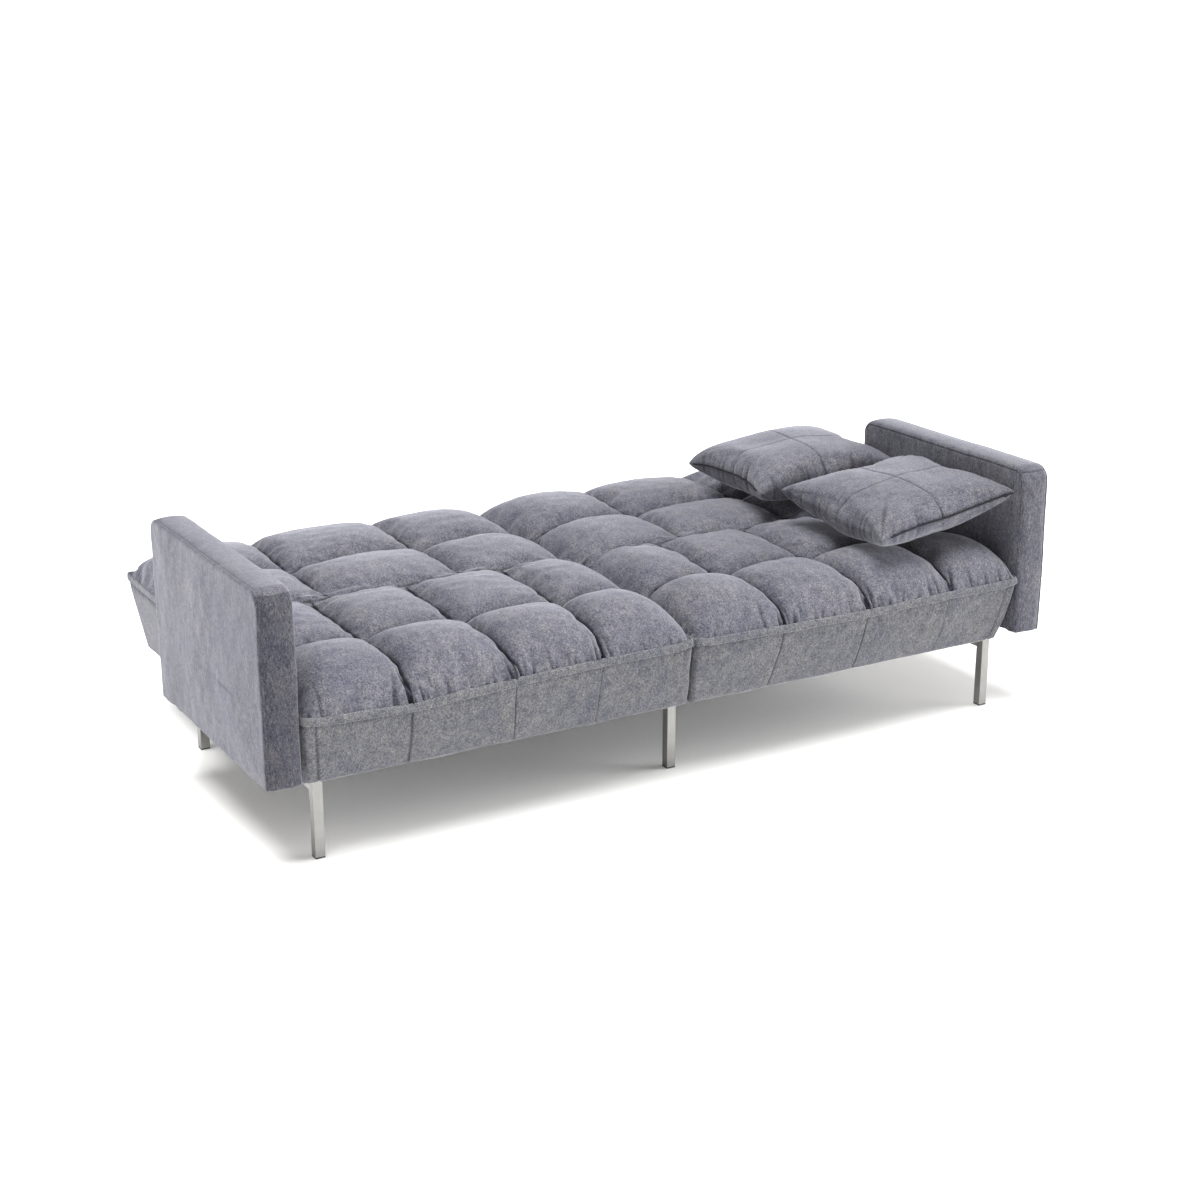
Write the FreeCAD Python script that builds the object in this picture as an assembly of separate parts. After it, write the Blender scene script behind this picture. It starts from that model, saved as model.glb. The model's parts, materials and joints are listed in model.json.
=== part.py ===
import FreeCAD, Part
import math
import os

# Split-back sofa bed, stored flat as a bed.
# Frame: origin on the floor under the middle of the whole bed. +X to the right-hand arm seen
# from the front, +Y from the seat's front edge to the backrest, +Z up.
# Each half has a seat and a backrest that folds up about a ratchet hinge along X.

# Overall sizes
LENGTH = 1900.0
DEPTH = 1056.0
FRONT = -DEPTH / 2
REAR = DEPTH / 2

# Arms
ARM_THICK = 73.0
ARM_DEPTH = 600.0
ARM_TOP = 573.0
ARM_BOTTOM = 178.0
ARM_CORNER = 45.0
ARM_EDGE = 8.0
ARM_PADDING = 20.0
ARM_INNER = LENGTH / 2 - ARM_THICK

# Soft parts of each half
HALF_GAP = 4.0
HALF_OUT = ARM_INNER - 5.0
BOXING_BOTTOM = 165.0
WELT_Z = 310.0
CUSHION_TOP = 395.0
CUSHION_ROUND = 68.0
CUSHION_CORNER = 12.0
CUSHION_CORE_BOTTOM = 303.0
SIDE_TAPER_OUT = 17.0
SIDE_TAPER_IN = 6.0
FRONT_TAPER = 47.0
REAR_TAPER = 75.0
SPLIT_TAPER_SEAT = 23.0
SPLIT_TAPER_BACK = 18.0
SHEET = 1.5

# Hinge line between seat and backrest
SPLIT_Y = -43.0
PIVOT_Z = 345.0
SPLIT_GAP = 7.0
SEAT_REAR = SPLIT_Y - SPLIT_GAP
BACK_FRONT = SPLIT_Y + SPLIT_GAP

# Wooden frames inside each half; PAST is how far a cut or a test runs past a face
BOARD = 20.0
BOARD_TOP = 290.0
BOARD_BOTTOM = BOXING_BOTTOM + SHEET
SEAT_FRAME_X = (40.0, 832.0)
SEAT_FRAME_Y = (FRONT + 70.0, SPLIT_Y - 45.0)
BACK_FRAME_X = (35.0, 837.0)
BACK_FRAME_Y = (SPLIT_Y + 45.0, REAR - 98.0)
BLOCK_LEG = 60.0
BLOCK_Z = (172.0, 222.0)
FIT = 0.3
PAST = 1.0
SAME = 1e-6

# Sinuous springs
WIRE_R = 1.8
WIRE_Z = BOARD_TOP + 3.0
SPRING_WIDTH = 50.0
SPRING_BEND = 12.0
SPRINGS_PER_HALF = 5
CLIP = (16.0, 12.0, 6.5)
CLIP_PLAY = 0.05

# Ratchet hinges
PLATE = 4.0
WASHER_GAP = 1.0
PLATE_R = 17.0
DISC_R = 22.5
BOLT_A = (100.0, 115.0)
BOLT_B = (76.0, 87.4)
PIN_R = 4.5
PIN_HEAD_R = 7.5
RUNNING = 0.05
BOLT_R = 4.0
BOLT_PLAY = 0.1
BOLT_HEAD_R = 6.5
HEAD = 5.0
NOTCH_R = 2.2
TIP_R = 1.9
TIP_AT = (22.1, -170.0)
ARM_R = 2.3
ARM_END = (27.4, -172.0)
LOCK_ANGLES = (0.0, 45.0, 60.0, 75.0)
PAWL_PIVOT = (-30.5, -35.1)
PAWL_R = 5.3
PAWL_PIN_R = 2.6
PAWL_REST = 8.0
PAWL_HUB_R = 4.5
PAWL_HUB = 8.0
PAWL_TAIL = 2.0
EAR_FOOT = (-45.0, -51.8)
EAR_R = 10.0
COIL_R = 6.4
COIL_WIRE_R = 1.1
COIL_PITCH = 2.5
COIL_TURNS = 2
COIL_GAP = 0.5
POCKET_MARGIN = 5.0
POCKET_IN = 8.0
POCKET_OUT = 20.0

# Legs and steel underframe
LEG = 20.0
TUBE_WALL = 1.5
CAP_HEIGHT = 3.0
CAP_PLUG = 14.0
LEG_TOP = 161.0
LEG_PLATE = 4.0
LEG_OUT = 841.0
FRONT_LEG_Y = FRONT + 47.0
CENTRE_LEG_Y = FRONT + 90.0
REAR_LEG_Y = FRONT + 697.0
OUTER_PLATE = (100.0, 50.0)
CENTRE_PLATE = (140.0, 50.0)
PLATE_FORWARD = (33.0, 20.0)
SCREW_R = 2.5
SCREW_LENGTH = 26.0
SCREW_HEAD = (5.0, 2.5)
SCREW_Y = (FRONT + 80.0, SEAT_FRAME_Y[1] - 10.0)
OUTER_SCREW_X = (755.0, 800.0)
CENTRE_SCREW_X = 50.0
PAD = (60.0, 20.0, 4.0)
PAD_X = (60.0, 775.0)

# Bolts that hold the arms and join the halves
ARM_BOLT_Y = (FRONT + 180.0, FRONT + 330.0)
ARM_BOLT_Z = 230.0
ARM_BOLT_DEPTH = 20.0
JOIN_BOLT_Y = (FRONT + 200.0, FRONT + 350.0)

# Loose pillows: centre, turn about X, Y and Z in degrees
PILLOW = (380.0, 380.0, 124.0)
PILLOW_ROUND = 55.0
PILLOW_CORNER = 30.0
FRONT_PILLOW = ((683.0, FRONT + 214.0, 481.0), (1.8, -8.2, 0.0))
REAR_PILLOW = ((687.0, FRONT + 664.0, 462.0), (0.0, 0.0, -5.0))


def vec(x, y, z):
    return FreeCAD.Vector(x, y, z)


X_AXIS = vec(1, 0, 0)
Y_AXIS = vec(0, 1, 0)
Z_AXIS = vec(0, 0, 1)
ORIGIN = vec(0, 0, 0)


def box(xs, ys, zs):
    size = (xs[1] - xs[0], ys[1] - ys[0], zs[1] - zs[0])
    return Part.makeBox(*size, vec(xs[0], ys[0], zs[0]))


def rod(radius, start, end):
    axis = end - start
    return Part.makeCylinder(radius, axis.Length, start, axis)


def x_rod(radius, y, z, x0, x1):
    return rod(radius, vec(x0, y, z), vec(x1, y, z))


def mirrored(shape):
    return shape.mirror(ORIGIN, X_AXIS)


def both(shapes):
    return shapes + [mirrored(s) for s in shapes]


def cut_all(shape, tools):
    return shape.cut(Part.makeCompound(tools)) if tools else shape


def export(node, shapes):
    solids = [s for shape in shapes for s in shape.Solids]
    shape = solids[0] if len(solids) == 1 else Part.makeCompound(solids)
    shape.exportStep(f"parts/{node}.step")


def edges_where(shape, test):
    return [e for e in shape.Edges if test(e)]


def is_along(edge, axis):
    if not isinstance(edge.Curve, Part.Line):
        return False
    return abs(edge.tangentAt(edge.FirstParameter).dot(axis)) > 0.999


# ---------------------------------------------------------------- hinges


def capsule(a, b, radius, x0, x1):
    """A bar with round ends from a to b, given as (y, z), between x0 and x1."""
    low, high = sorted((x0, x1))
    dy, dz = b[0] - a[0], b[1] - a[1]
    length = math.hypot(dy, dz)
    ny, nz = -dz / length * radius, dy / length * radius
    corners = [
        vec(low, a[0] + ny, a[1] + nz),
        vec(low, b[0] + ny, b[1] + nz),
        vec(low, b[0] - ny, b[1] - nz),
        vec(low, a[0] - ny, a[1] - nz),
    ]
    bar = Part.Face(Part.makePolygon(corners + corners[:1])).extrude(vec(high - low, 0, 0))
    ends = [x_rod(radius, p[0], p[1], low, high) for p in (a, b)]
    return bar.multiFuse(ends).removeSplitter()


def from_pivot(dy, dz):
    return (SPLIT_Y + dy, PIVOT_Z + dz)


def polar(radius, degrees):
    a = math.radians(degrees)
    return (radius * math.cos(a), radius * math.sin(a))


PIVOT = from_pivot(0, 0)
PAWL_AT = from_pivot(*PAWL_PIVOT)


class Hinge:
    """One ratchet hinge: seat_x is the seat board's face, side is +1 when its plates go to +X."""

    def __init__(self, seat_x, side):
        self.seat_x = seat_x
        self.side = side
        self.seat_layer = (seat_x, seat_x + side * PLATE)
        first = seat_x + side * (PLATE + WASHER_GAP)
        self.back_layer = (first, first + side * PLATE)

    def bolt_places(self, part):
        sign = -1 if part == "seat" else 1
        return [from_pivot(sign * y, -z) for y, z in (BOLT_A, BOLT_B)]

    def seat_plate(self):
        low, high = self.seat_layer
        plate = capsule(self.bolt_places("seat")[0], PIVOT, PLATE_R, low, high)
        ear = capsule(from_pivot(*EAR_FOOT), PAWL_AT, EAR_R, low, high)
        holes = [x_rod(PIN_R + RUNNING, *PIVOT, low, high)]
        holes.append(x_rod(PAWL_PIN_R + RUNNING, *PAWL_AT, low, high))
        holes += [x_rod(BOLT_R + BOLT_PLAY, *p, low, high) for p in self.bolt_places("seat")]
        return cut_all(plate.fuse(ear).removeSplitter(), holes)

    def back_plate(self):
        low, high = self.back_layer
        plate = capsule(PIVOT, self.bolt_places("back")[0], PLATE_R, low, high)
        disc = x_rod(DISC_R, *PIVOT, low, high)
        holes = [x_rod(PIN_R + RUNNING, *PIVOT, low, high)]
        holes += [x_rod(BOLT_R + BOLT_PLAY, *p, low, high) for p in self.bolt_places("back")]
        for lock in LOCK_ANGLES:
            notch = from_pivot(*polar(TIP_AT[0], TIP_AT[1] - lock))
            holes.append(x_rod(NOTCH_R, *notch, low, high))
        return cut_all(plate.fuse(disc).removeSplitter(), holes)

    def pawl(self):
        low, high = self.back_layer
        tip = from_pivot(*polar(*TIP_AT))
        elbow = from_pivot(*polar(*ARM_END))
        hub = x_rod(PAWL_R, *PAWL_AT, low, high)
        tooth = capsule(elbow, tip, TIP_R, low, high)
        body = capsule(PAWL_AT, elbow, ARM_R, low, high).multiFuse([hub, tooth]).removeSplitter()
        body = body.cut(x_rod(PAWL_PIN_R + RUNNING, *PAWL_AT, low, high))
        body.rotate(vec(0, *PAWL_AT), X_AXIS, PAWL_REST)
        return body

    def pin(self, place, radius, head_radius, nose_length, tail_length):
        """A rivet through both layers with a head at each end."""
        tail = self.seat_x
        nose = self.back_layer[1] + self.side * RUNNING
        shank = x_rod(radius, *place, tail, nose)
        heads = [x_rod(head_radius, *place, nose, nose + self.side * nose_length)]
        heads.append(x_rod(head_radius, *place, tail - self.side * tail_length, tail))
        return shank.multiFuse(heads).removeSplitter()

    def pivot_pin(self):
        return self.pin(PIVOT, PIN_R, PIN_HEAD_R, PLATE, PLATE)

    def pawl_pin(self):
        return self.pin(PAWL_AT, PAWL_PIN_R, PAWL_HUB_R, PAWL_HUB, PAWL_TAIL)

    def pawl_spring(self):
        """Torsion spring wound round the long head of the pawl's pin, as a run of half turns."""
        start = self.back_layer[1] + self.side * (COIL_WIRE_R + COIL_GAP)

        def place(turn):
            dy, dz = polar(COIL_R, 360 * turn)
            return vec(start + self.side * COIL_PITCH * turn, PAWL_AT[0] + dy, PAWL_AT[1] + dz)

        halves = [i / 2 for i in range(2 * COIL_TURNS)]
        arcs = [Part.Arc(place(t), place(t + 0.25), place(t + 0.5)).toShape() for t in halves]
        along = arcs[0].tangentAt(arcs[0].FirstParameter)
        quarters = [Part.makeCircle(COIL_WIRE_R, place(0), along, a, a + 90) for a in (0, 90, 180, 270)]
        return Part.Wire(arcs).makePipeShell([Part.Wire(quarters)], True, True)

    def bolts(self, part):
        layer = self.seat_layer if part == "seat" else self.back_layer
        inner = layer[0] - self.side * BOARD
        made = []
        for place in self.bolt_places(part):
            shank = x_rod(BOLT_R, *place, inner - self.side * 2 * HEAD, layer[1])
            head = x_rod(BOLT_HEAD_R, *place, layer[1], layer[1] + self.side * HEAD)
            made.append(shank.fuse(head).removeSplitter())
            made.append(self.nut(place, inner))
        return made

    def nut(self, place, face):
        width = 2 * BOLT_HEAD_R / math.sqrt(3)
        corners = [polar(width, 360 * i / 6) for i in range(6)]
        ring = [vec(face, place[0] + dy, place[1] + dz) for dy, dz in corners]
        block = Part.Face(Part.makePolygon(ring + ring[:1])).extrude(vec(-self.side * HEAD, 0, 0))
        return block.cut(x_rod(BOLT_R + RUNNING, *place, face - self.side * HEAD, face))

    def bolt_holes(self, part):
        layer = self.seat_layer if part == "seat" else self.back_layer
        inner = layer[0] - self.side * BOARD
        return [x_rod(BOLT_R + BOLT_PLAY, *p, inner, layer[0]) for p in self.bolt_places(part)]

    def pocket(self):
        """The room that soft parts leave round the hinge, over the backrest's whole swing."""
        low = self.seat_x - self.side * POCKET_IN
        high = self.seat_x + self.side * POCKET_OUT
        rooms = []
        for part in ("seat", "back"):
            end = self.bolt_places(part)[0]
            rooms.append(capsule(end, PIVOT, PLATE_R + POCKET_MARGIN, low, high))
        rooms.append(x_rod(DISC_R + POCKET_MARGIN, *PIVOT, low, high))
        rooms.append(x_rod(DISC_R - POCKET_MARGIN, *PAWL_AT, low, high))
        elbow = from_pivot(*polar(*ARM_END))
        rooms.append(capsule(PAWL_AT, elbow, 2 * POCKET_MARGIN + ARM_R, low, high))
        return rooms


HINGES = [Hinge(SEAT_FRAME_X[1], 1), Hinge(SEAT_FRAME_X[0], -1)]


def export_hinges():
    export("hinge_seat_plates", both([h.seat_plate() for h in HINGES]))
    export("hinge_pivot_pins", both([h.pivot_pin() for h in HINGES]))
    export("pawl_pins", both([h.pawl_pin() for h in HINGES]))
    export("pawl_springs", both([h.pawl_spring() for h in HINGES]))
    seat_bolts = [b for h in HINGES for b in h.bolts("seat")]
    export("hinge_seat_bolts", both(seat_bolts))
    back_bolts = [b for h in HINGES for b in h.bolts("back")]
    plates = [h.back_plate() for h in HINGES]
    pawls = [h.pawl() for h in HINGES]
    for side, place in (("right", list), ("left", lambda s: [mirrored(x) for x in s])):
        export(f"hinge_back_plates_{side}", place(plates))
        export(f"hinge_back_bolts_{side}", place(back_bolts))
        export(f"pawls_{side}", place(pawls))


# ---------------------------------------------------------------- wooden frames and springs


def frame_boards(xs, ys):
    """Front, rear and two side boards of a half's frame, named by place."""
    zs = (BOARD_BOTTOM, BOARD_TOP)
    inner_y = (ys[0] + BOARD, ys[1] - BOARD)
    return {
        "front": box(xs, (ys[0], ys[0] + BOARD), zs),
        "rear": box(xs, (ys[1] - BOARD, ys[1]), zs),
        "inner": box((xs[0], xs[0] + BOARD), inner_y, zs),
        "outer": box((xs[1] - BOARD, xs[1]), inner_y, zs),
    }


def corner_blocks(xs, ys):
    """Triangular glue blocks in the four inner corners of a frame."""
    blocks = []
    for x, dx in ((xs[0] + BOARD, 1), (xs[1] - BOARD, -1)):
        for y, dy in ((ys[0] + BOARD, 1), (ys[1] - BOARD, -1)):
            low = vec(x, y, BLOCK_Z[0])
            ring = [low, low + vec(dx * BLOCK_LEG, 0, 0), low + vec(0, dy * BLOCK_LEG, 0)]
            face = Part.Face(Part.makePolygon(ring + ring[:1]))
            blocks.append(face.extrude(vec(0, 0, BLOCK_Z[1] - BLOCK_Z[0])))
    return blocks


def spring_runs(ys):
    """Number of bends and the y of the first cross run, so both ends lie on the boards."""
    span = ys[1] - ys[0] - BOARD
    count = int(span / (2 * SPRING_BEND))
    first = (ys[0] + ys[1] - (count * 2 * SPRING_BEND)) / 2
    return count, first


def sinuous_spring(x, ys):
    """Zigzag wire from the front board to the rear board, on top of both."""
    count, y = spring_runs(ys)
    half = SPRING_WIDTH / 2 - SPRING_BEND
    edges = []
    side = 1
    for i in range(count + 1):
        start = vec(x - side * half, y, WIRE_Z)
        end = vec(x + side * half, y, WIRE_Z)
        edges.append(Part.LineSegment(start, end).toShape())
        if i < count:
            crown = end + vec(side * SPRING_BEND, SPRING_BEND, 0)
            after = end + vec(0, 2 * SPRING_BEND, 0)
            edges.append(Part.Arc(end, crown, after).toShape())
        y += 2 * SPRING_BEND
        side = -side
    path = Part.Wire(edges)
    profile = Part.Wire(Part.makeCircle(WIRE_R, edges[0].Vertexes[0].Point, X_AXIS))
    return path.makePipeShell([profile], True, True)


def spring_places(xs):
    step = (xs[1] - xs[0]) / SPRINGS_PER_HALF
    return [xs[0] + step * (i + 0.5) for i in range(SPRINGS_PER_HALF)]


def spring_clips(xs, ys):
    """Small saddle plates that hold both ends of each spring to the boards."""
    count, first = spring_runs(ys)
    clips = []
    for x in spring_places(xs):
        for y in (first, first + count * 2 * SPRING_BEND):
            sizes = [(x - CLIP[0] / 2, x + CLIP[0] / 2), (y - CLIP[1] / 2, y + CLIP[1] / 2)]
            block = box(*sizes, (BOARD_TOP, BOARD_TOP + CLIP[2]))
            clips.append(block.cut(x_rod(WIRE_R + CLIP_PLAY, y, WIRE_Z, *sizes[0])))
    return clips


# ---------------------------------------------------------------- soft solids


def tapered_block(top_x, top_y, bottom_x, bottom_y, zs):
    wires = []
    for xs, ys, z in ((bottom_x, bottom_y, zs[0]), (top_x, top_y, zs[1])):
        corners = ((xs[0], ys[0]), (xs[1], ys[0]), (xs[1], ys[1]), (xs[0], ys[1]))
        ring = [vec(x, y, z) for x, y in corners]
        wires.append(Part.makePolygon(ring + ring[:1]))
    return Part.makeLoft(wires, True, True)


def boxing(ys, tapers, frame_x, frame_y):
    """Padded side walls of a half, leaning in towards the floor, round its wooden frame."""
    top_x = (HALF_GAP, HALF_OUT)
    bottom_x = (HALF_GAP + SIDE_TAPER_IN, HALF_OUT - SIDE_TAPER_OUT)
    bottom_y = (ys[0] + tapers[0], ys[1] - tapers[1])
    outer = tapered_block(top_x, ys, bottom_x, bottom_y, (BOXING_BOTTOM, WELT_Z))
    hole_x = (frame_x[0] - FIT, frame_x[1] + FIT)
    hole_y = (frame_y[0] - FIT, frame_y[1] + FIT)
    hole = box(hole_x, hole_y, (BOXING_BOTTOM - PAST, WELT_Z + PAST))
    return outer.cut(hole)


def cushion(ys, frame_x, frame_y):
    """Quilted foam top of a half, with a core that drops into the frame over the springs."""
    block = box((HALF_GAP, HALF_OUT), ys, (WELT_Z, CUSHION_TOP))
    upright = edges_where(block, lambda e: is_along(e, Z_AXIS))
    block = block.makeFillet(CUSHION_CORNER, upright)
    top = edges_where(block, lambda e: min(v.Z for v in e.Vertexes) > CUSHION_TOP - PAST)
    block = block.makeFillet(CUSHION_ROUND, top)
    core = box(frame_x, frame_y, (CUSHION_CORE_BOTTOM, WELT_Z))
    return block.fuse(core).removeSplitter()


def hinge_pockets():
    return [room for h in HINGES for room in h.pocket()]


def export_half(side, place):
    """All pieces of one half that aren't shared: place puts a right-hand shape on this side."""
    rooms = hinge_pockets()
    arm_holes = arm_bolt_holes() + join_bolt_holes()
    seat_ys = (FRONT, SEAT_REAR)
    back_ys = (BACK_FRONT, REAR)
    seat_tapers = (FRONT_TAPER, SPLIT_TAPER_SEAT)
    back_tapers = (SPLIT_TAPER_BACK, REAR_TAPER)
    seat_box = boxing(seat_ys, seat_tapers, SEAT_FRAME_X, SEAT_FRAME_Y)
    back_box = boxing(back_ys, back_tapers, BACK_FRAME_X, BACK_FRAME_Y)
    seat_top = cushion(seat_ys, SEAT_FRAME_X, SEAT_FRAME_Y)
    back_top = cushion(back_ys, BACK_FRAME_X, BACK_FRAME_Y)
    export(f"seat_boxing_{side}", [place(cut_all(seat_box, rooms + arm_holes))])
    export(f"back_boxing_{side}", [place(cut_all(back_box, rooms))])
    export(f"seat_cushion_{side}", [place(cut_all(seat_top, rooms))])
    export(f"back_cushion_{side}", [place(cut_all(back_top, rooms))])
    sheet_z = (BOXING_BOTTOM, BOARD_BOTTOM)
    seat_sheet = box(SEAT_FRAME_X, SEAT_FRAME_Y, sheet_z)
    export(f"seat_dust_cover_{side}", [place(cut_all(seat_sheet, screw_holes()))])
    export(f"back_dust_cover_{side}", [place(box(BACK_FRAME_X, BACK_FRAME_Y, sheet_z))])
    seat_springs = [sinuous_spring(x, SEAT_FRAME_Y) for x in spring_places(SEAT_FRAME_X)]
    back_springs = [sinuous_spring(x, BACK_FRAME_Y) for x in spring_places(BACK_FRAME_X)]
    export(f"seat_springs_{side}", [place(s) for s in seat_springs])
    export(f"back_springs_{side}", [place(s) for s in back_springs])
    back_boards = frame_boards(BACK_FRAME_X, BACK_FRAME_Y)
    holes = [hole for h in HINGES for hole in h.bolt_holes("back")]
    export(f"back_hinge_rail_{side}", [place(back_boards["front"])])
    export(f"back_top_rail_{side}", [place(back_boards["rear"])])
    side_boards = [cut_all(back_boards[b], holes) for b in ("inner", "outer")]
    export(f"back_side_rails_{side}", [place(b) for b in side_boards])
    clips = spring_clips(BACK_FRAME_X, BACK_FRAME_Y)
    export(f"back_spring_clips_{side}", [place(c) for c in clips])


def export_seat_frames():
    boards = frame_boards(SEAT_FRAME_X, SEAT_FRAME_Y)
    hinge_holes = [hole for h in HINGES for hole in h.bolt_holes("seat")]
    holes = hinge_holes + arm_bolt_holes() + join_bolt_holes() + screw_holes()
    export("seat_front_rails", both([cut_all(boards["front"], holes)]))
    export("seat_rear_rails", both([cut_all(boards["rear"], holes)]))
    export("seat_side_rails", both([cut_all(boards[b], holes) for b in ("inner", "outer")]))
    export("seat_corner_blocks", both(corner_blocks(SEAT_FRAME_X, SEAT_FRAME_Y)))
    export("seat_spring_clips", both(spring_clips(SEAT_FRAME_X, SEAT_FRAME_Y)))


# ---------------------------------------------------------------- arms


def arm_outline(inset, x0, x1):
    """Side outline of an arm, square at the bottom and rounded at both top corners."""
    y0, y1 = FRONT + inset, FRONT + ARM_DEPTH - inset
    z0, z1 = ARM_BOTTOM, ARM_TOP - inset
    r = ARM_CORNER - inset / 2
    k = r * (1 - math.sqrt(0.5))
    points = {
        "a": vec(x0, y0, z0), "b": vec(x0, y0, z1 - r), "c": vec(x0, y0 + r, z1),
        "d": vec(x0, y1 - r, z1), "e": vec(x0, y1, z1 - r), "f": vec(x0, y1, z0),
    }
    edges = [
        Part.LineSegment(points["a"], points["b"]).toShape(),
        Part.Arc(points["b"], vec(x0, y0 + k, z1 - k), points["c"]).toShape(),
        Part.LineSegment(points["c"], points["d"]).toShape(),
        Part.Arc(points["d"], vec(x0, y1 - k, z1 - k), points["e"]).toShape(),
        Part.LineSegment(points["e"], points["f"]).toShape(),
        Part.LineSegment(points["f"], points["a"]).toShape(),
    ]
    return Part.Face(Part.Wire(edges)).extrude(vec(x1 - x0, 0, 0))


def export_arms():
    outer = arm_outline(0, ARM_INNER, ARM_INNER + ARM_THICK)
    rims = edges_where(outer, lambda e: not is_along(e, X_AXIS) and not is_along(e, Y_AXIS)
                       or is_along(e, Y_AXIS) and e.Vertexes[0].Z > ARM_BOTTOM + PAST)
    rims = [e for e in rims if abs(e.Vertexes[0].X - e.Vertexes[1].X) < SAME]
    outer = outer.makeFillet(ARM_EDGE, rims)
    core_x = (ARM_INNER + ARM_PADDING, ARM_INNER + ARM_THICK - ARM_PADDING)
    core = arm_outline(ARM_PADDING, *core_x)
    room = arm_outline(ARM_PADDING - FIT, core_x[0] - FIT, core_x[1] + FIT)
    holes = arm_bolt_holes()
    cover = cut_all(outer.cut(room), holes)
    core = cut_all(core, holes)
    for side, place in (("right", lambda s: s), ("left", mirrored)):
        export(f"arm_cover_{side}", [place(cover)])
        export(f"arm_frame_{side}", [place(core)])


def arm_bolt_span():
    head_face = SEAT_FRAME_X[1] - BOARD
    return head_face, ARM_INNER + ARM_PADDING + ARM_BOLT_DEPTH


def arm_bolt_holes():
    x0, x1 = arm_bolt_span()
    return [x_rod(BOLT_R + BOLT_PLAY, y, ARM_BOLT_Z, x0, x1) for y in ARM_BOLT_Y]


def export_arm_bolts():
    x0, x1 = arm_bolt_span()
    bolts = []
    for y in ARM_BOLT_Y:
        shank = x_rod(BOLT_R, y, ARM_BOLT_Z, x0, x1)
        head = x_rod(BOLT_HEAD_R, y, ARM_BOLT_Z, x0 - HEAD, x0)
        bolts.append(shank.fuse(head).removeSplitter())
    export("arm_bolts", both(bolts))


def join_bolt_holes():
    """Right half's share of the holes for the bolts that tie the two seat frames together."""
    end = SEAT_FRAME_X[0] + BOARD
    return [x_rod(BOLT_R + BOLT_PLAY, y, ARM_BOLT_Z, -PAST, end) for y in JOIN_BOLT_Y]


def export_join_bolts():
    face = SEAT_FRAME_X[0] + BOARD
    bolts = []
    for y in JOIN_BOLT_Y:
        shank = x_rod(BOLT_R, y, ARM_BOLT_Z, -face, face)
        heads = [x_rod(BOLT_HEAD_R, y, ARM_BOLT_Z, s * face, s * (face + HEAD)) for s in (-1, 1)]
        bolts.append(shank.multiFuse(heads).removeSplitter())
    export("seat_joining_bolts", bolts)


# ---------------------------------------------------------------- steel underframe


def square_tube(xs, ys, zs, axis):
    """Hollow square tube: axis is the index of the side that stays open at both ends."""
    spans = [xs, ys, zs]
    inner = [s if i == axis else (s[0] + TUBE_WALL, s[1] - TUBE_WALL) for i, s in enumerate(spans)]
    return box(*spans).cut(box(*inner))


def leg_places():
    """Name, low x and front y of each leg."""
    ends = (("left", -LEG_OUT), ("right", LEG_OUT - LEG))
    rows = (("front", FRONT_LEG_Y), ("rear", REAR_LEG_Y))
    places = [(f"{row}_{name}", x, y) for row, y in rows for name, x in ends]
    places.append(("front_centre", -LEG / 2, CENTRE_LEG_Y))
    places.append(("rear_centre", -LEG / 2, REAR_LEG_Y))
    return places


def foot_cap(x, y):
    """Plastic plug with a flange as wide as the tube."""
    wall = TUBE_WALL + RUNNING
    flange = box((x, x + LEG), (y, y + LEG), (0, CAP_HEIGHT))
    inner_x = (x + wall, x + LEG - wall)
    inner_y = (y + wall, y + LEG - wall)
    plug = box(inner_x, inner_y, (CAP_HEIGHT, CAP_HEIGHT + CAP_PLUG))
    return flange.fuse(plug).removeSplitter()


def screw_places():
    spots = [(x, y) for x in OUTER_SCREW_X for y in SCREW_Y]
    return spots + [(CENTRE_SCREW_X, y) for y in SCREW_Y]


def screw_holes():
    low = LEG_TOP
    high = LEG_TOP + SCREW_LENGTH
    return [rod(SCREW_R + RUNNING, vec(x, y, low), vec(x, y, high)) for x, y in screw_places()]


def leg_screws():
    screws = []
    for x, y in screw_places():
        shank = rod(SCREW_R, vec(x, y, LEG_TOP), vec(x, y, LEG_TOP + SCREW_LENGTH))
        head = rod(SCREW_HEAD[0], vec(x, y, LEG_TOP - SCREW_HEAD[1]), vec(x, y, LEG_TOP))
        screws.append(shank.fuse(head).removeSplitter())
    return both(screws)


def mounting_plates():
    zs = (LEG_TOP, LEG_TOP + LEG_PLATE)
    outer_x = (LEG_OUT - OUTER_PLATE[0], LEG_OUT)
    centre_x = (-CENTRE_PLATE[0] / 2, CENTRE_PLATE[0] / 2)
    holes = both(screw_holes())
    plates = []
    for y in SCREW_Y:
        outer_y = (y - PLATE_FORWARD[0], y - PLATE_FORWARD[0] + OUTER_PLATE[1])
        plates += both([cut_all(box(outer_x, outer_y, zs), holes)])
        centre_y = (y - PLATE_FORWARD[1], y - PLATE_FORWARD[1] + CENTRE_PLATE[1])
        plates.append(cut_all(box(centre_x, centre_y, zs), holes))
    return plates


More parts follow.
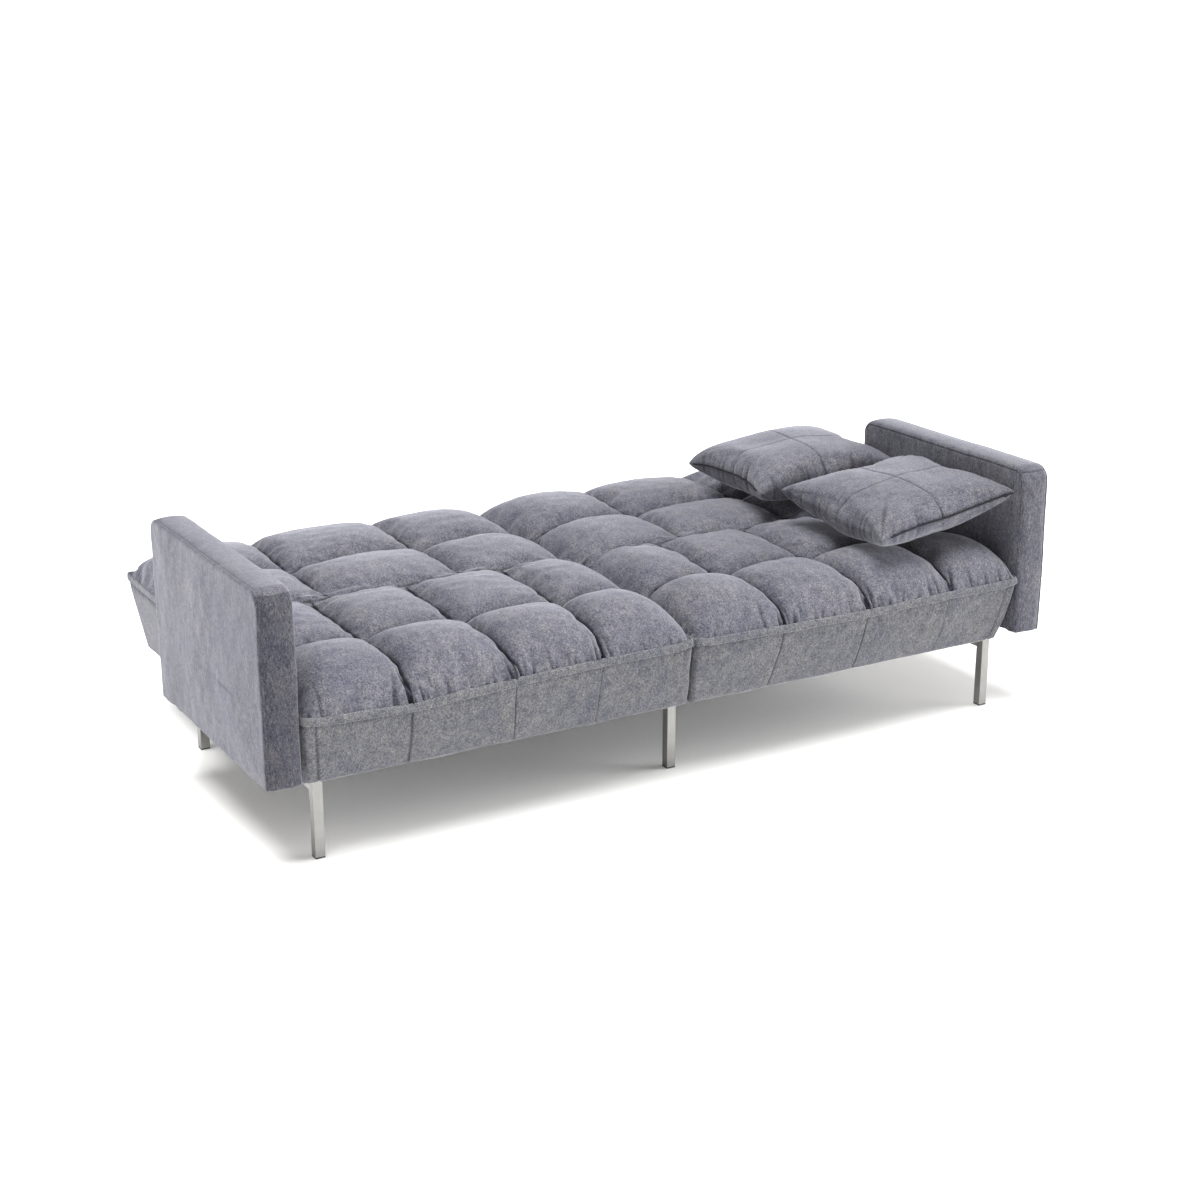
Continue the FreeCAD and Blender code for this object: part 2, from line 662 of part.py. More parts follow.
def export_underframe():
    zs = (CAP_HEIGHT, LEG_TOP)
    rail_z = (LEG_TOP - LEG, LEG_TOP)
    caps = []
    rails = []
    for name, x, y in leg_places():
        tube = square_tube((x, x + LEG), (y, y + LEG), zs, 2)
        export(f"leg_{name}", [tube])
        caps.append(foot_cap(x, y))
        if name.startswith("front"):
            rails.append(square_tube((x, x + LEG), (y + LEG, REAR_LEG_Y), rail_z, 1))
    export("foot_caps", caps)
    export("base_side_rails", rails)
    span = (LEG / 2, LEG_OUT - LEG)
    cross = square_tube(span, (REAR_LEG_Y, REAR_LEG_Y + LEG), rail_z, 0)
    export("base_cross_rails", both([cross]))
    pads = []
    for x in PAD_X:
        ys = (REAR_LEG_Y, REAR_LEG_Y + PAD[1])
        pads.append(box((x - PAD[0] / 2, x + PAD[0] / 2), ys, (LEG_TOP, LEG_TOP + PAD[2])))
    export("rest_pads", both(pads))
    export("leg_plates", mounting_plates())
    export("leg_screws", leg_screws())


# ---------------------------------------------------------------- pillows


def pillow(centre, turns):
    sx, sy, sz = PILLOW
    block = box((-sx / 2, sx / 2), (-sy / 2, sy / 2), (-sz / 2, sz / 2))
    upright = edges_where(block, lambda e: is_along(e, Z_AXIS))
    block = block.makeFillet(PILLOW_CORNER, upright)
    rims = edges_where(block, lambda e: abs(e.Vertexes[0].Z - e.Vertexes[-1].Z) < SAME)
    block = block.makeFillet(PILLOW_ROUND, rims)
    for axis, turn in zip((X_AXIS, Y_AXIS, Z_AXIS), turns):
        block.rotate(ORIGIN, axis, turn)
    block.translate(vec(*centre))
    return block


def main():
    os.makedirs("parts", exist_ok=True)
    export_seat_frames()
    export_half("right", lambda s: s)
    export_half("left", mirrored)
    export_hinges()
    export_arms()
    export_arm_bolts()
    export_join_bolts()
    export_underframe()
    export("pillow_front", [pillow(*FRONT_PILLOW)])
    export("pillow_rear", [pillow(*REAR_PILLOW)])


main()
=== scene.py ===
import json
import math

import bmesh
import bpy
import numpy as np
from mathutils import Euler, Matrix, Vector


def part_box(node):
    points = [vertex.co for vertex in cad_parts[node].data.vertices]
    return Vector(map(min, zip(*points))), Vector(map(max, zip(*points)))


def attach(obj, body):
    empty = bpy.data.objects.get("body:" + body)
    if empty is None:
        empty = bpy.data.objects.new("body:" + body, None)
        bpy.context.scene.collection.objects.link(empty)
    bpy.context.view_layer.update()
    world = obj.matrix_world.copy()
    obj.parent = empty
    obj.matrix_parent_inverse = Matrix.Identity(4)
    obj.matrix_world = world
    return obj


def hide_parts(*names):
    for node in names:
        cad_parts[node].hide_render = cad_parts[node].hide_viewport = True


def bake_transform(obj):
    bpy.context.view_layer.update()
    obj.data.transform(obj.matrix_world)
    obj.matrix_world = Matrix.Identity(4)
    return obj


# Split-back sofa bed laid flat: quilted cushions, padded walls, arms, loose pillows, metal legs.
# Everything is in metres in the CAD frame: +X along the bed, +Y to the backrest, +Z up.

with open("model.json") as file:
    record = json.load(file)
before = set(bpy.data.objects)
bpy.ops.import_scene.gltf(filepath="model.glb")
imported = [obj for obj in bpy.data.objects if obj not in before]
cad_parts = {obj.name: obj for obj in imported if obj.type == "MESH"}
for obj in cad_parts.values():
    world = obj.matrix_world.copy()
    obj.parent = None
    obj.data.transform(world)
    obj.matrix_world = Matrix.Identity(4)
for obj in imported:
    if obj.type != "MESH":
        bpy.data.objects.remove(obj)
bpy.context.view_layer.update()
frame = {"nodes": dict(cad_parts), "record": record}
MM = 0.001
TINY = 1e-9

# ---- sizes read from the frame


def limits(node):
    """A CAD node's box as three (low, high) pairs."""
    low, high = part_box(node)
    return [(low[i], high[i]) for i in range(3)]


SEAT_X, SEAT_Y, CUSHION_Z = limits("seat_cushion_right")
BACK_Y = limits("back_cushion_right")[1]
BOXING_Z = limits("seat_boxing_right")[2]
WELT_Z = BOXING_Z[1]
CREST = CUSHION_Z[1]
PIVOT = frame["record"]["behaviour"]["joints"][0]["pos_m"]
HINGE_DISC = limits("hinge_back_plates_right")

SIDES = {"left": -1, "right": 1}
# How far each channel strays from even spacing, in mm outwards from the centre gap: at the outer
# rolled edge, then at the row channel
WANDER = {
    "seat_left": ((0, -19, -9), (-16, 0, 1)),
    "seat_right": ((6, 13, 24), (-18, 0, 2)),
    "back_left": ((0, 8), (-8, 24)),
    "back_right": ((6, 4), (-8, 6)),
}
# First random seed for each kind of piece, on a seat and on a back
SEEDS = {"quilt": (10, 30), "welt": (50, 60), "wall": (70, 80)}
ARM_SEED = 100
RIGHT_SEED = 5


class Cushion:
    """One of the four cushions: its span, its quilting and the body that it moves with."""

    def __init__(self, kind, side):
        seat = kind == "seat"
        self.kind, self.side, self.sign = kind, side, SIDES[side]
        self.ys = SEAT_Y if seat else BACK_Y
        self.columns = 4 if seat else 3
        self.row_y = -0.306 if seat else 0.212
        self.points_per_puff = 34 if seat else 44
        self.rolls_y = (seat, not seat)
        self.wander = WANDER[f"{kind}_{side}"]
        self.body = "base" if seat else f"backrest_{side}"

    def named(self, piece):
        return f"{self.kind}_{piece}_{self.side}"

    def seed(self, piece):
        return SEEDS[piece][self.kind == "back"] + (RIGHT_SEED if self.sign > 0 else 0)


def linked(name, data):
    """A new object in the scene."""
    obj = bpy.data.objects.new(name, data)
    bpy.context.scene.collection.objects.link(obj)
    return obj


# ---- camera, floor and light

CAMERA_AT = (-2.1731, -3.8657, 1.6938)
CAMERA_TILT = 72.065
CAMERA_TURN = -30.209
CAMERA_LENS = 60.87
SENSOR = 36.0
FLOOR_SIZE = 400.0
FLOOR_COLOUR = (0.95, 0.945, 0.935)
# Each soft light: the way it shines, its strength and how many degrees wide its source is
SUNS = {
    "overhead_key": ((0.16, 0.05, -0.95), 5.2, 36),
    "side_fill": ((-0.9, 0.34, -0.20), 3.4, 40),
}
# Light from all round: strength, share of it on the left, the heights (0 to 1) between which
# it dims, and the share left overhead
WALL_STRENGTH = 3.0
LEFT_SHARE = 0.42
WALL_TOP = (0.22, 0.50)
OVERHEAD_SHARE = 0.19


def add_camera():
    data = bpy.data.cameras.new("photo_camera")
    data.lens = CAMERA_LENS
    data.sensor_width = SENSOR
    camera = linked("photo_camera", data)
    camera.location = CAMERA_AT
    camera.rotation_euler = (math.radians(CAMERA_TILT), 0, math.radians(CAMERA_TURN))
    bpy.context.scene.camera = camera


def add_sun(name, aim, strength, width):
    data = bpy.data.lights.new(name, "SUN")
    data.energy = strength
    data.angle = math.radians(width)
    flat = math.hypot(aim[0], aim[1])
    turn = math.atan2(aim[1], aim[0]) - math.pi / 2
    linked(name, data).rotation_euler = (math.atan2(flat, -aim[2]), 0, turn)


def add_studio():
    half = FLOOR_SIZE / 2
    corners = [(-half, -half, 0), (half, -half, 0), (half, half, 0), (-half, half, 0)]
    mesh = bpy.data.meshes.new("floor")
    mesh.from_pydata(corners, [], [(0, 1, 2, 3)])
    floor = linked("floor", mesh)
    paint = Nodes(bpy.data.materials.new("studio_floor"))
    paint.set(Base_Color=(*FLOOR_COLOUR, 1), Roughness=0.55)
    mesh.materials.append(paint.owner)
    bpy.context.scene.world = studio_walls()
    for name, facts in SUNS.items():
        add_sun(name, *facts)
    bpy.context.scene.view_settings.view_transform = "Standard"


def studio_walls():
    """Soft light from all round: bright white walls near the floor, dimmer overhead."""
    n = Nodes(bpy.data.worlds.new("studio_world"))
    place = n.add("ShaderNodeTexCoord")
    split = n.add("ShaderNodeSeparateXYZ")
    n.link(place.outputs["Generated"], split.inputs["Vector"])
    dim = (OVERHEAD_SHARE,) * 3
    walls = n.ramp(split.outputs["Z"], [(WALL_TOP[0], EVEN), (WALL_TOP[1], dim)])
    across = n.add("ShaderNodeMapRange", From_Min=-1.0, To_Min=LEFT_SHARE)
    n.link(split.outputs["X"], across.inputs["Value"])
    both = n.add("ShaderNodeVectorMath")
    both.operation = "SCALE"
    n.link(walls, both.inputs[0])
    n.link(across.outputs["Result"], both.inputs["Scale"])
    background = n.tree.nodes["Background"]
    n.link(both.outputs["Vector"], background.inputs["Color"])
    background.inputs["Strength"].default_value = WALL_STRENGTH
    return n.owner


# ---- materials


class Nodes:
    """Small helper for building the node tree of a material or a world."""

    def __init__(self, owner):
        owner.use_nodes = True
        self.owner, self.tree = owner, owner.node_tree
        self.shader = self.tree.nodes.get("Principled BSDF")

    def add(self, kind, **inputs):
        node = self.tree.nodes.new(kind)
        for key, value in inputs.items():
            node.inputs[key.replace("_", " ")].default_value = value
        return node

    def link(self, source, socket):
        self.tree.links.new(source, socket)

    def set(self, **values):
        for key, value in values.items():
            self.shader.inputs[key.replace("_", " ")].default_value = value

    def feed(self, **sources):
        for key, source in sources.items():
            self.link(source, self.shader.inputs[key.replace("_", " ")])

    def tones(self, factor, colour, darkest, lightest):
        """One colour, scaled from darkest to lightest as the factor rises."""
        stops = [(0.3, scaled(colour, darkest)), (0.7, scaled(colour, lightest))]
        return self.ramp(factor, stops)

    def stretched(self, stretch):
        """Object coordinates, squeezed along some axes so that grain runs along the others."""
        coordinates = self.add("ShaderNodeTexCoord")
        mapping = self.add("ShaderNodeMapping", Scale=stretch)
        self.link(coordinates.outputs["Object"], mapping.inputs["Vector"])
        return mapping.outputs["Vector"]

    def noise(self, vector, scale, detail=2.0, roughness=0.5):
        node = self.add("ShaderNodeTexNoise", Scale=scale, Detail=detail, Roughness=roughness)
        self.link(vector, node.inputs["Vector"])
        return node.outputs["Fac"]

    def ramp(self, factor, stops):
        node = self.add("ShaderNodeValToRGB")
        elements = node.color_ramp.elements
        while len(elements) < len(stops):
            elements.new(0.5)
        for element, (place, colour) in zip(elements, stops):
            element.position = place
            element.color = (*colour, 1)
        self.link(factor, node.inputs["Fac"])
        return node.outputs["Color"]

    def times(self, first, second):
        """One colour multiplied by another."""
        node = self.add("ShaderNodeMix")
        node.data_type = "RGBA"
        node.blend_type = "MULTIPLY"
        node.inputs["Factor"].default_value = 1.0
        self.link(first, node.inputs["A"])
        self.link(second, node.inputs["B"])
        return node.outputs["Result"]

    def bump(self, height, strength, distance, normal=None):
        node = self.add("ShaderNodeBump", Strength=strength, Distance=distance)
        self.link(height, node.inputs["Height"])
        if normal is not None:
            self.link(normal, node.inputs["Normal"])
        return node.outputs["Normal"]


def scaled(colour, factor):
    return tuple(c * factor for c in colour)


FABRIC = (0.095, 0.0945, 0.114)
# The wall cloth is a copy of the quilt's cloth, a little greyer: painted light, set for how the
# wall fronts look under the lamps
WALL_FABRIC = (0.098, 0.0985, 0.110)
# Colour that painted shade darkens the cloth towards, in seams, channels, folds and creases
PAINTED_SHADE_TINT = (0.07, 0.07, 0.10)
EVEN = (1, 1, 1)
# Sizes of the cloth's marks, as noise scales: pile, flecks, blotches and wide nap marks
PILE, FLECKS, BLOTCHES, NAP = 760, 250, 60, 7.5


def chenille(name, colour, stretch):
    """Short-pile chenille: fibre grain, mottling of a few millimetres, large soft nap marks, and
    painted shade in seams, channels, folds and creases where a piece's shade attribute says so."""
    n = Nodes(bpy.data.materials.new(name))
    along = n.stretched(stretch)
    fibre = n.noise(along, PILE, 3.0, 0.65)
    mottle = n.noise(along, FLECKS, 3.0, 0.6)
    blotch = n.noise(along, BLOTCHES)
    nap = n.noise(n.stretched(EVEN), NAP)
    dark, light = scaled(colour, 0.40), scaled(colour, 1.80)
    base = n.ramp(fibre, [(0.32, dark), (0.51, colour), (0.70, light)])
    shade = n.ramp(mottle, [(0.30, (0.58, 0.58, 0.61)), (0.70, (1.44, 1.43, 1.36))])
    large = n.ramp(blotch, [(0.30, (0.81, 0.825, 0.875)), (0.70, (1.20, 1.185, 1.13))])
    patch = n.ramp(nap, [(0.32, (0.90, 0.91, 0.95)), (0.68, (1.10, 1.09, 1.05))])
    # Painted shade: the shade attribute darkens the cloth towards a dark blue-grey
    mark = n.add("ShaderNodeAttribute")
    mark.attribute_name = "shade"
    seams = n.ramp(mark.outputs["Fac"], [(0.0, (1.0, 1.0, 1.0)), (1.0, PAINTED_SHADE_TINT)])
    for layer in (shade, large, patch, seams):
        base = n.times(base, layer)
    soft = n.bump(mottle, 0.4, 0.8 * MM)
    n.feed(Base_Color=base, Normal=n.bump(fibre, 0.6, 0.5 * MM, soft))
    n.set(Roughness=0.95, Sheen_Weight=0.40, Sheen_Roughness=0.40, Specular_IOR_Level=0.10)
    n.set(Sheen_Tint=(0.90, 0.91, 1.0, 1.0))
    return n.owner


def brushed(name, colour, roughness, stretch):
    """Metal with fine marks drawn out along one axis and slight smears."""
    n = Nodes(bpy.data.materials.new(name))
    lines = n.noise(n.stretched(stretch), 600)
    smear = n.noise(n.stretched(EVEN), 30)
    rough = n.tones(lines, (roughness,) * 3, 0.8, 1.25)
    n.feed(Base_Color=n.tones(smear, colour, 0.90, 1.04), Roughness=rough)
    n.feed(Normal=n.bump(lines, 0.12, 0.1 * MM))
    n.set(Metallic=1.0)
    return n.owner


WOOD_TONES = [(0.3, (0.20, 0.12, 0.06)), (0.5, (0.33, 0.23, 0.13)), (0.7, (0.40, 0.30, 0.19))]


def sawn_wood(name):
    """Softwood with its grain along the object's X axis."""
    n = Nodes(bpy.data.materials.new(name))
    rings = n.noise(n.stretched((2.0, 26.0, 26.0)), 3.0, 5.0, 0.6)
    fibre = n.noise(n.stretched((8.0, 90.0, 90.0)), 8.0, 3.0)
    n.feed(Base_Color=n.ramp(rings, WOOD_TONES), Normal=n.bump(fibre, 0.4, 0.4 * MM))
    n.set(Roughness=0.72)
    return n.owner


def matt(name, colour, roughness, grain, depth):
    """Moulded plastic, rubber or paint: a faint speckle with a matching bump."""
    n = Nodes(bpy.data.materials.new(name))
    speck = n.noise(n.stretched(EVEN), grain)
    n.feed(Base_Color=n.tones(speck, colour, 0.8, 1.25), Normal=n.bump(speck, 0.35, depth))
    n.set(Roughness=roughness, Specular_IOR_Level=0.12)
    return n.owner


def make_materials():
    return {
        "quilt": chenille("chenille_quilt", FABRIC, (1.0, 0.62, 1.0)),
        "wall": chenille("chenille_wall", WALL_FABRIC, (1.0, 1.0, 0.7)),
        # The arm cloth is a darker copy of the quilt's cloth: painted shade for the arms' faces
        "arm": chenille("chenille_arm", scaled(FABRIC, 0.86), (1.0, 1.0, 0.40)),
        "pillow": chenille("chenille_pillow", scaled(FABRIC, 1.02), (0.8, 1.0, 1.0)),
        "dust_cover_cloth": matt("nonwoven_black", (0.014, 0.014, 0.016), 0.9, 900, 0.2 * MM),
        "leg_metal": brushed("satin_chrome", (0.27, 0.267, 0.258), 0.36, (1.0, 1.0, 0.04)),
        "underframe_metal": brushed("zinc_frame", (0.33, 0.33, 0.325), 0.42, (0.05, 1.0, 1.0)),
        "hinge_steel": brushed("zinc_plate", (0.30, 0.30, 0.305), 0.42, (1.0, 0.1, 1.0)),
        "fastener_steel": brushed("zinc_fastener", (0.40, 0.40, 0.395), 0.34, (1.0, 1.0, 1.0)),
        "spring_steel": matt("black_spring_wire", (0.05, 0.05, 0.055), 0.45, 300, 0.05 * MM),
        "frame_wood": sawn_wood("sawn_softwood"),
        "cap_plastic": matt("black_plastic", (0.03, 0.03, 0.03), 0.55, 700, 0.1 * MM),
        "pad_rubber": matt("black_rubber", (0.03, 0.03, 0.03), 0.8, 500, 0.1 * MM),
        "zip": matt("zip_tape", (0.012, 0.012, 0.015), 0.6, 900, 0.1 * MM),
    }


def dress_cad_nodes(materials):
    """Every CAD node that stays on show gets the finish of its slot."""
    for part in frame["record"]["subparts"]:
        if part["material_slot"] not in materials:
            continue
        slots = frame["nodes"][part["node"]].data.materials
        slots.clear()
        slots.append(materials[part["material_slot"]])


# ---- mesh helpers


def waves(points, length, seed, count=12):
    """A smooth random field with about unit swings and the given wavelength."""
    rng = np.random.default_rng(seed)
    total = np.zeros(len(points))
    for _ in range(count):
        way = rng.normal(size=points.shape[1])
        way /= np.linalg.norm(way)
        turns = 2 * math.pi / (length * rng.uniform(0.7, 1.5))
        total += np.sin(points @ way * turns + rng.uniform(0, 2 * math.pi))
    return total / math.sqrt(count)


def hump(distance, reach):
    """1 at no distance, falling smoothly to almost 0 at twice the reach."""
    return np.exp(-(distance / reach) ** 2)


def lattice(rows, columns, wrap=False):
    """Quads over a rows by columns lattice; wrap also joins the last column to the first."""
    r = np.arange(rows - 1)[:, None] * columns
    c = np.arange(columns if wrap else columns - 1)[None, :]
    n = (c + 1) % columns
    quads = np.stack([r + c, r + n, r + columns + n, r + columns + c], -1)
    return quads.reshape(-1, 4).tolist()


def grid(xs, ys):
    """Every pair of an x and a y: the two arrays, and the pairs as rows."""
    x, y = np.meshgrid(xs, ys)
    return x, y, np.stack([x.ravel(), y.ravel()], 1)


def new_mesh(name, points, faces):
    mesh = bpy.data.meshes.new(name)
    mesh.from_pydata(np.asarray(points, float).tolist(), [], faces)
    mesh.validate()
    mesh.update()
    return mesh


def new_object(name, mesh, material, shade=None):
    """shade, from 0 to 1 at each point, is painted shade: it darkens the cloth there, as in a
    seam, a channel or a fold.
    """
    mesh.materials.clear()
    mesh.materials.append(material)
    mesh.shade_smooth()
    if shade is not None:
        write_layer(mesh, "shade", np.clip(shade, 0, 1))
    return linked(name, mesh)


def evaluated(obj):
    """The object's mesh with its modifiers applied, as a new mesh."""
    graph = bpy.context.evaluated_depsgraph_get()
    graph.update()
    return bpy.data.meshes.new_from_object(obj.evaluated_get(graph), depsgraph=graph)


def write_layer(mesh, name, values):
    """Stores one number for each point of a mesh."""
    layer = mesh.attributes.new(name, "FLOAT", "POINT")
    layer.data.foreach_set("value", np.asarray(values, np.float32).ravel())


def read_layer(mesh, name):
    values = np.zeros(len(mesh.vertices), np.float32)
    mesh.attributes[name].data.foreach_get("value", values)
    return values


def read_points(mesh, key="co"):
    """The points of a mesh, or its point normals, as rows of three."""
    flat = np.empty(len(mesh.vertices) * 3)
    mesh.vertices.foreach_get(key, flat)
    return flat.reshape(-1, 3)


def write_points(mesh, points):
    mesh.vertices.foreach_set("co", np.asarray(points, float).ravel())
    mesh.update()


def subdivided(mesh):
    """The mesh with every face split in four, and smoothed."""
    obj = linked("scratch", mesh)
    modifier = obj.modifiers.new("smooth", "SUBSURF")
    modifier.levels = 1
    modifier.boundary_smooth = "PRESERVE_CORNERS"
    result = evaluated(obj)
    bpy.data.objects.remove(obj)
    return result


def closed_piece(name, points, faces, material, shade=None):
    """A new object of a closed surface whose faces point outwards."""
    return new_object(name, facing_out(new_mesh(name, points, faces)), material, shade)


def facing_out(mesh):
    work = bmesh.new()
    work.from_mesh(mesh)
    bmesh.ops.recalc_face_normals(work, faces=work.faces)
    work.to_mesh(mesh)
    work.free()
    return mesh


def place_piece(obj, body, slot, *nodes):
    """Ties a piece to its body, and hides the CAD nodes that it takes the place of. The slot is
    not used.
    """
    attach(obj, body)
    if nodes:
        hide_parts(*nodes)


# ---- quilted cushions

PUFF_POWER = 0.40
CREST_SHARE = 0.60
SPLIT_RISE = 16 * MM
SPLIT_RUN = 40 * MM
ROLL_POWER = 0.52
# Samples crowd towards the channels: this share of their spacing is even
EVEN_SHARE = 0.22
QUILT_EDGE_Z = WELT_Z + 5 * MM
CHANNEL_Z = CREST - 38 * MM
PUFF_LIFT = 37 * MM
SWAY = 2.2 * MM
FUZZ = 0.5 * MM
# Painted shade in the cloth beside a channel: how dark each share of it is, and how far it reaches
CHANNEL_SHADES = ((1.0, 2.9 * MM), (0.26, 12 * MM))
SKIRT_BOTTOM = CUSHION_Z[0] + 1 * MM
POINTS_PER_PUFF_Y = 32
# How far the front edge of each seat sags, where along X, and over what reach
EDGE_SAG = {"left": (15 * MM, 0.65, 0.25), "right": (7 * MM, 0.42, 0.30)}
EDGE_SAG_DEPTH_Y = 90 * MM


def sagged(points, cushion):
    """Lowers the front edge of a seat a little, on its quilt, welt and wall alike."""
    if cushion.kind == "back":
        return points
    depth, middle, reach = EDGE_SAG[cushion.side]
    x, y, z = points.T
    above = np.clip((CREST - z) / (CREST - WELT_Z), 0, 1)
    below = np.clip((z - BOXING_Z[0]) / (WELT_Z - BOXING_Z[0]), 0, 1)
    near = hump(y - SEAT_Y[0], EDGE_SAG_DEPTH_Y) * hump(np.abs(x) - middle, reach)
    points[:, 2] -= depth * np.minimum(above, below) * near
    return points


def puff_axis(edges, rolls, count, crest_in=False):
    """Samples across the puffs between edges: place, puff (0 in a channel, 1 at a crest), and
    roll (0 at a rolled outer edge, 1 inside). rolls says which outer ends roll to the welt, and
    crest_in moves the crest of a rolled puff away from that end."""
    places, puffs, rolled = [], [], []
    cells = len(edges) - 1
    for i, (low, high) in enumerate(zip(edges[:-1], edges[1:])):
        steps = np.linspace(-1, 1, count + 1)
        if i < cells - 1:
            steps = steps[:-1]
        t = EVEN_SHARE * steps + (1 - EVEN_SHARE) * np.sin(steps * math.pi / 2)
        puff = np.clip(1 - t * t, 0, 1) ** PUFF_POWER
        roll = np.ones_like(t)
        share = (t + 1) / 2
        ends = ((0, rolls[0], t < 0, CREST_SHARE), (cells - 1, rolls[1], t > 0, 1 - CREST_SHARE))
        for end, rolls_out, outer, crest in ends:
            if i != end or not rolls_out:
                continue
            roll = np.where(outer, np.clip(1 - t * t, 0, 1) ** ROLL_POWER, roll)
            puff = np.where(outer, 1.0, puff)
            if crest_in:
                share = np.interp(t, (-1, 0, 1), (0, crest, 1))
        places.append(low + (high - low) * share)
        puffs.append(puff)
        rolled.append(roll)
    return np.concatenate(places), np.concatenate(puffs), np.concatenate(rolled)


# Kinds of pleat: the ranges of width, reach and depth in mm
SHORT_PLEAT = ((2.6, 4.6), (9, 26), (0.9, 2.2))
CHANNEL_PLEAT = ((3, 5), (14, 42), (1.6, 3.6))
LONG_PLEAT = ((3.4, 5.4), (26, 56), (1.8, 3.4))


def gathers(along, away, seed, span, spacing, channels, strength=1.0):
    """Small pleats that run in from an edge of a quilted panel, more where a channel ends: an
    offset along the normal at points this far along and away from the edge."""
    rng = np.random.default_rng(seed)
    total = np.zeros_like(along)

    def pleat(place, kind):
        width, reach, depth = (rng.uniform(*ends) * MM for ends in kind)
        slant = rng.normal() * 0.12
        q = (along - place - slant * away) / width
        near = np.abs(q) < 4
        fold = (1 - q[near] ** 2) * np.exp(-q[near] ** 2 / 1.6) * hump(away[near], reach)
        total[near] -= depth * strength * fold

    count = int((span[1] - span[0]) / spacing)
    for _ in range(count):
        pleat(rng.uniform(*span), SHORT_PLEAT)
    for place in channels:
        for _ in range(7):
            pleat(place + rng.normal() * 12 * MM, CHANNEL_PLEAT)
    for _ in range(count // 9):
        pleat(rng.uniform(*span), LONG_PLEAT)
    return total


def quilt_surface(cushion, seed):
    """Points of a quilted top on the right-hand half, as a lattice of rows along X, and the
    painted shade at each, darkest beside the channels."""
    edges_x = np.linspace(*SEAT_X, cushion.columns + 1)
    edges_y = (cushion.ys[0], cushion.row_y, cushion.ys[1])
    xs, puff_x, roll_x = puff_axis(edges_x, (True, True), cushion.points_per_puff)
    ys, puff_y, roll_y = puff_axis(edges_y, cushion.rolls_y, POINTS_PER_PUFF_Y, True)
    x, y, flat = grid(xs, ys)
    uneven = waves(flat, 0.24, seed).reshape(x.shape)
    puff = np.outer(puff_y, puff_x)
    roll = np.outer(roll_y, roll_x)
    lift = PUFF_LIFT * (1 + 0.045 * uneven)
    split, outer_y = (ys[-1], ys[0]) if cushion.rolls_y[0] else (ys[0], ys[-1])
    floor_z = CHANNEL_Z + SPLIT_RISE * hump(y - split, SPLIT_RUN)
    z = QUILT_EDGE_Z + (floor_z + puff * (CHANNEL_Z + lift - floor_z) - QUILT_EDGE_Z) * roll
    sway = waves(flat, 0.17, seed + 1).reshape(x.shape)
    drift = waves(flat, 0.21, seed + 2).reshape(x.shape)
    inside = np.outer(*(np.minimum(1, 6 * (v - v[0]) * (v[-1] - v) / (v[-1] - v[0]) ** 2)
                        for v in (ys, xs)))
    to_column = np.abs(x[..., None] - edges_x[1:-1]).min(-1)
    channel = np.minimum(to_column, np.abs(y - cushion.row_y))
    # Painted shade beside the channels
    shade = sum(dark * hump(channel, reach) for dark, reach in CHANNEL_SHADES)
    share = np.clip((y - cushion.row_y) / (outer_y - cushion.row_y), 0, 1)
    at_edge, at_row = (np.interp(x, edges_x, (0, *w, 0)) * MM for w in cushion.wander)
    x = x + at_row + (at_edge - at_row) * share + SWAY * sway * inside
    y = y + SWAY * drift * inside
    return np.stack([x, y, z], -1), shade


BUMP_CLEAR = 5 * MM
BUMP_X = 24 * MM
BUMP_Y = 34 * MM
BUMP_END_Y = 60 * MM


def hinge_bumps(points):
    """Lifts the cover gently where a hinge disc lies close under it."""
    reach = HINGE_DISC[2][1] - PIVOT[2] + BUMP_CLEAR
    y = points[..., 1] - PIVOT[1]
    over = PIVOT[2] + reach * hump(y, BUMP_Y)
    x = np.abs(points[..., 0])
    near = np.maximum(hump(x - HINGE_DISC[0][0], BUMP_X), hump(x - HINGE_DISC[0][1], BUMP_X))
    points[..., 2] += np.maximum(0, over - points[..., 2]) * near * (np.abs(y) < BUMP_END_Y)
    return points


CLOTH_STIFFNESS = {"tension": 15, "compression": 15, "shear": 5, "bending": 0.4}
CLOTH_MASS = 0.3
CLOTH_PRESSURE = 3.0
CLOTH_REACH = 9 * MM


def inflate(mesh, pinned, frames=22, slack=-0.05):
    """Cloth under pressure, held at the pinned points: returns the moved points, none of which
    goes further than CLOTH_REACH."""
    start = read_points(mesh)
    scene = bpy.context.scene
    obj = linked("scratch_cloth", mesh)
    group = obj.vertex_groups.new(name="held")
    group.add([int(i) for i in np.flatnonzero(pinned)], 1.0, "REPLACE")
    cloth = obj.modifiers.new("cloth", "CLOTH")
    settings = cloth.settings
    settings.quality = 5
    settings.mass = CLOTH_MASS
    for kind, stiffness in CLOTH_STIFFNESS.items():
        setattr(settings, f"{kind}_stiffness", stiffness)
    settings.vertex_group_mass = "held"
    settings.use_pressure = True
    settings.uniform_pressure_force = CLOTH_PRESSURE
    settings.shrink_min = slack
    settings.effector_weights.gravity = 0
    cloth.point_cache.frame_start = 1
    cloth.point_cache.frame_end = frames
    for step in range(1, frames + 1):
        scene.frame_set(step)
    moved = read_points(evaluated(obj))
    bpy.data.objects.remove(obj)
    scene.frame_set(1)
    shift = moved - start
    length = np.linalg.norm(shift, axis=1, keepdims=True)
    eased = CLOTH_REACH * np.tanh(length / CLOTH_REACH)
    return start + shift * eased / np.maximum(length, TINY)


def border_ring(rows, columns):
    """Indices round the edge of a lattice, in order."""
    index = np.arange(rows * columns).reshape(rows, columns)
    sides = (index[0], index[1:, -1], index[-1, -2::-1], index[-2:0:-1, 0])
    return np.concatenate(sides).tolist()


